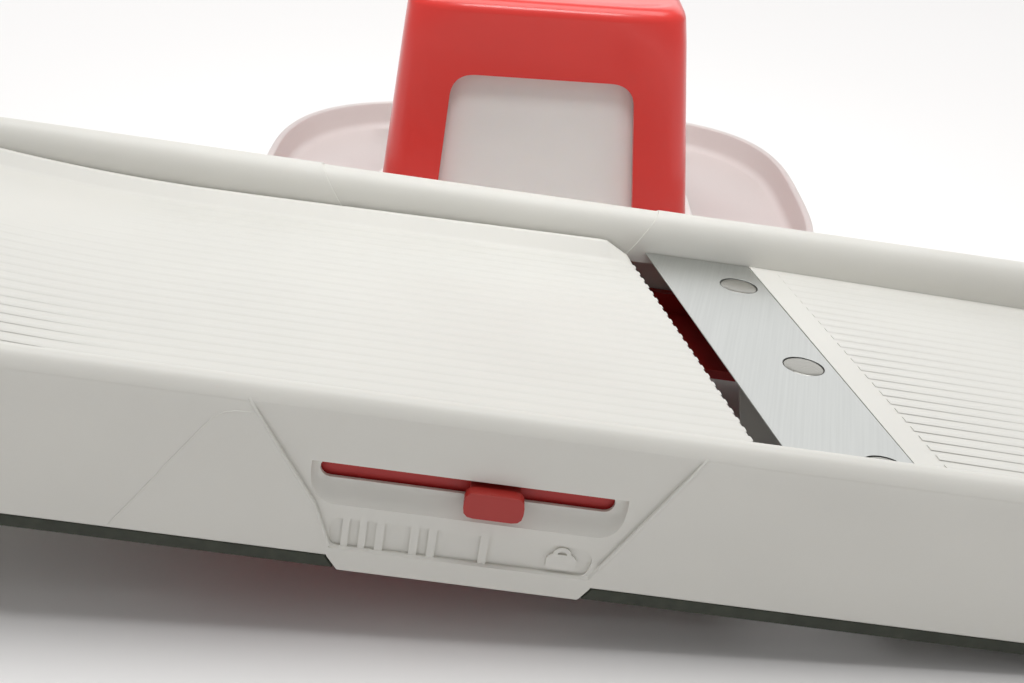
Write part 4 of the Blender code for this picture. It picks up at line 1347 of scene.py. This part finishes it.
@dataclass
class Studio:
    """Pale floor, soft lights and the camera."""

    place: Matrix
    floor_half: float = 6.0
    floor_drop: float = 0.0002
    surroundings_strength: float = 0.38
    camera_from: Point3 = (-3.34, -263.74, 114.66)
    azimuth: float = -3.73
    elevation: float = 24.11
    roll: float = 9.28
    focal_length: float = 54.49

    def build_floor(self) -> None:
        """Large pale sheet under everything."""
        mesh = bpy.data.meshes.new("floor")
        half, z = self.floor_half, -self.floor_drop
        mesh.from_pydata([(-half, -half, z), (half, -half, z), (half, half, z), (-half, half, z)], [],
                         [(0, 1, 2, 3)])
        floor = bpy.data.objects.new("floor", mesh)
        bpy.context.scene.collection.objects.link(floor)
        material = bpy.data.materials.new("pale_sheet")
        material.use_nodes = True
        shader = material.node_tree.nodes["Principled BSDF"]
        shader.inputs["Base Color"].default_value = (0.90, 0.89, 0.885, 1.0)
        shader.inputs["Roughness"].default_value = 0.75
        mesh.materials.append(material)

    def add_light(self, name: str, at: Point3, towards: Point3, size: Point2, power: float,
                  spread: float = 180.0) -> None:
        """Rectangular soft light.

        Args:
            name: Name of the light.
            at: Its place, in metres.
            towards: Point that it faces.
            size: Its width and height, in metres.
            power: Its power, in watts.
            spread: Full angle of its beam, in degrees.
        """
        light = bpy.data.lights.new(name, "AREA")
        light.shape = "RECTANGLE"
        light.size, light.size_y = size
        light.energy = power
        light.spread = math.radians(spread)
        lamp = bpy.data.objects.new(name, light)
        lamp.location = at
        lamp.rotation_euler = (Vector(towards) - Vector(at)).to_track_quat("-Z", "Y").to_euler()
        lamp.visible_camera = False
        bpy.context.scene.collection.objects.link(lamp)

    def build_camera(self) -> None:
        """Camera low in front of the slicer, a little rolled."""
        az, el, roll = (math.radians(v) for v in (self.azimuth, self.elevation, self.roll))
        ahead = Vector((-math.sin(az) * math.cos(el), math.cos(az) * math.cos(el), -math.sin(el)))
        side = Vector((math.cos(az), math.sin(az), 0.0))
        up = side.cross(ahead)
        right = side * math.cos(roll) + up * math.sin(roll)
        above = up * math.cos(roll) - side * math.sin(roll)
        turn = Matrix((right, above, -ahead)).transposed().to_4x4()
        data = bpy.data.cameras.new("camera")
        data.sensor_width = 36.0
        data.lens = self.focal_length
        data.clip_start = 0.01
        camera = bpy.data.objects.new("camera", data)
        camera.matrix_world = self.place @ Matrix.Translation(Vector(self.camera_from) * MM) @ turn
        bpy.context.scene.collection.objects.link(camera)
        bpy.context.scene.camera = camera

    def build(self) -> None:
        """Build floor, lights and camera."""
        self.build_floor()
        self.add_light("overhead", at=(0.0, 0.10, 1.3), towards=(0.0, 0.0, 0.0), size=(1.6, 0.8),
                       power=13.8)
        self.add_light("back_card", at=(0.3, 2.4, 1.1), towards=(0.1, 0.0, 0.1), size=(4.0, 1.8),
                       power=18.0)
        self.add_light("holder_fill", at=(0.05, -0.17, 0.42), towards=(0.05, 0.05, 0.035),
                       size=(0.16, 0.10), power=0.038, spread=44.0)
        self.add_light("floor_fill", at=(0.0, -0.42, 0.50), towards=(0.0, -0.42, 0.0),
                       size=(1.3, 0.04), power=0.55, spread=54.0)
        world = bpy.data.worlds.new("surroundings")
        world.use_nodes = True
        background = world.node_tree.nodes["Background"]
        background.inputs["Color"].default_value = (1.0, 0.99, 0.98, 1.0)
        background.inputs["Strength"].default_value = self.surroundings_strength
        bpy.context.scene.world = world
        bpy.context.scene.view_settings.view_transform = "Standard"
        self.build_camera()


def slicer_place(joints: Sequence[dict]) -> tuple[Matrix, float]:
    """Place of the slicer's own frame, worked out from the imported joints.

    Args:
        joints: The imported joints.

    Returns:
        The matrix and the pitch in radians.
    """
    by_name = {joint["name"]: joint for joint in joints}
    axis = Vector(by_name["thickness_slide"]["axis"])
    pitch = math.atan2(-axis.z, axis.x)
    turn = Matrix.Rotation(pitch, 4, "Y")
    pivot = Vector((PLATFORM_PIVOT[0], 0.0, PLATFORM_PIVOT[1])) * MM
    shift = Vector(by_name["platform_pivot"]["pos_m"]) - turn @ pivot
    return Matrix.Translation(shift) @ turn, pitch


def holder_place() -> Matrix:
    """Place of the holder's own frame, on the table under the middle of its guard."""
    low, high = (Vector(corner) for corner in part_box("guard_plate"))
    middle = (low + high) / 2.0
    return Matrix.Translation((middle.x, middle.y, low.z))


def main() -> None:
    """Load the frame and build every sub-assembly in order."""
    logging.basicConfig(level=logging.INFO, format="%(message)s")
    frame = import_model()
    slicer, pitch = slicer_place(frame["joints"])
    beads, copies = bead_tree(), copy_tree()
    RailBody(slicer).build(beads)
    Platform(slicer).build(beads)
    Blade(slicer).build(copies)
    ThicknessKnob(slicer).build()
    SoftStrips(slicer, pitch).build()
    FoodHolder(holder_place()).build(copies)
    CarriedNodes(frame["nodes"]).dress()
    Studio(slicer).build()


if __name__ == "__main__":
    main()
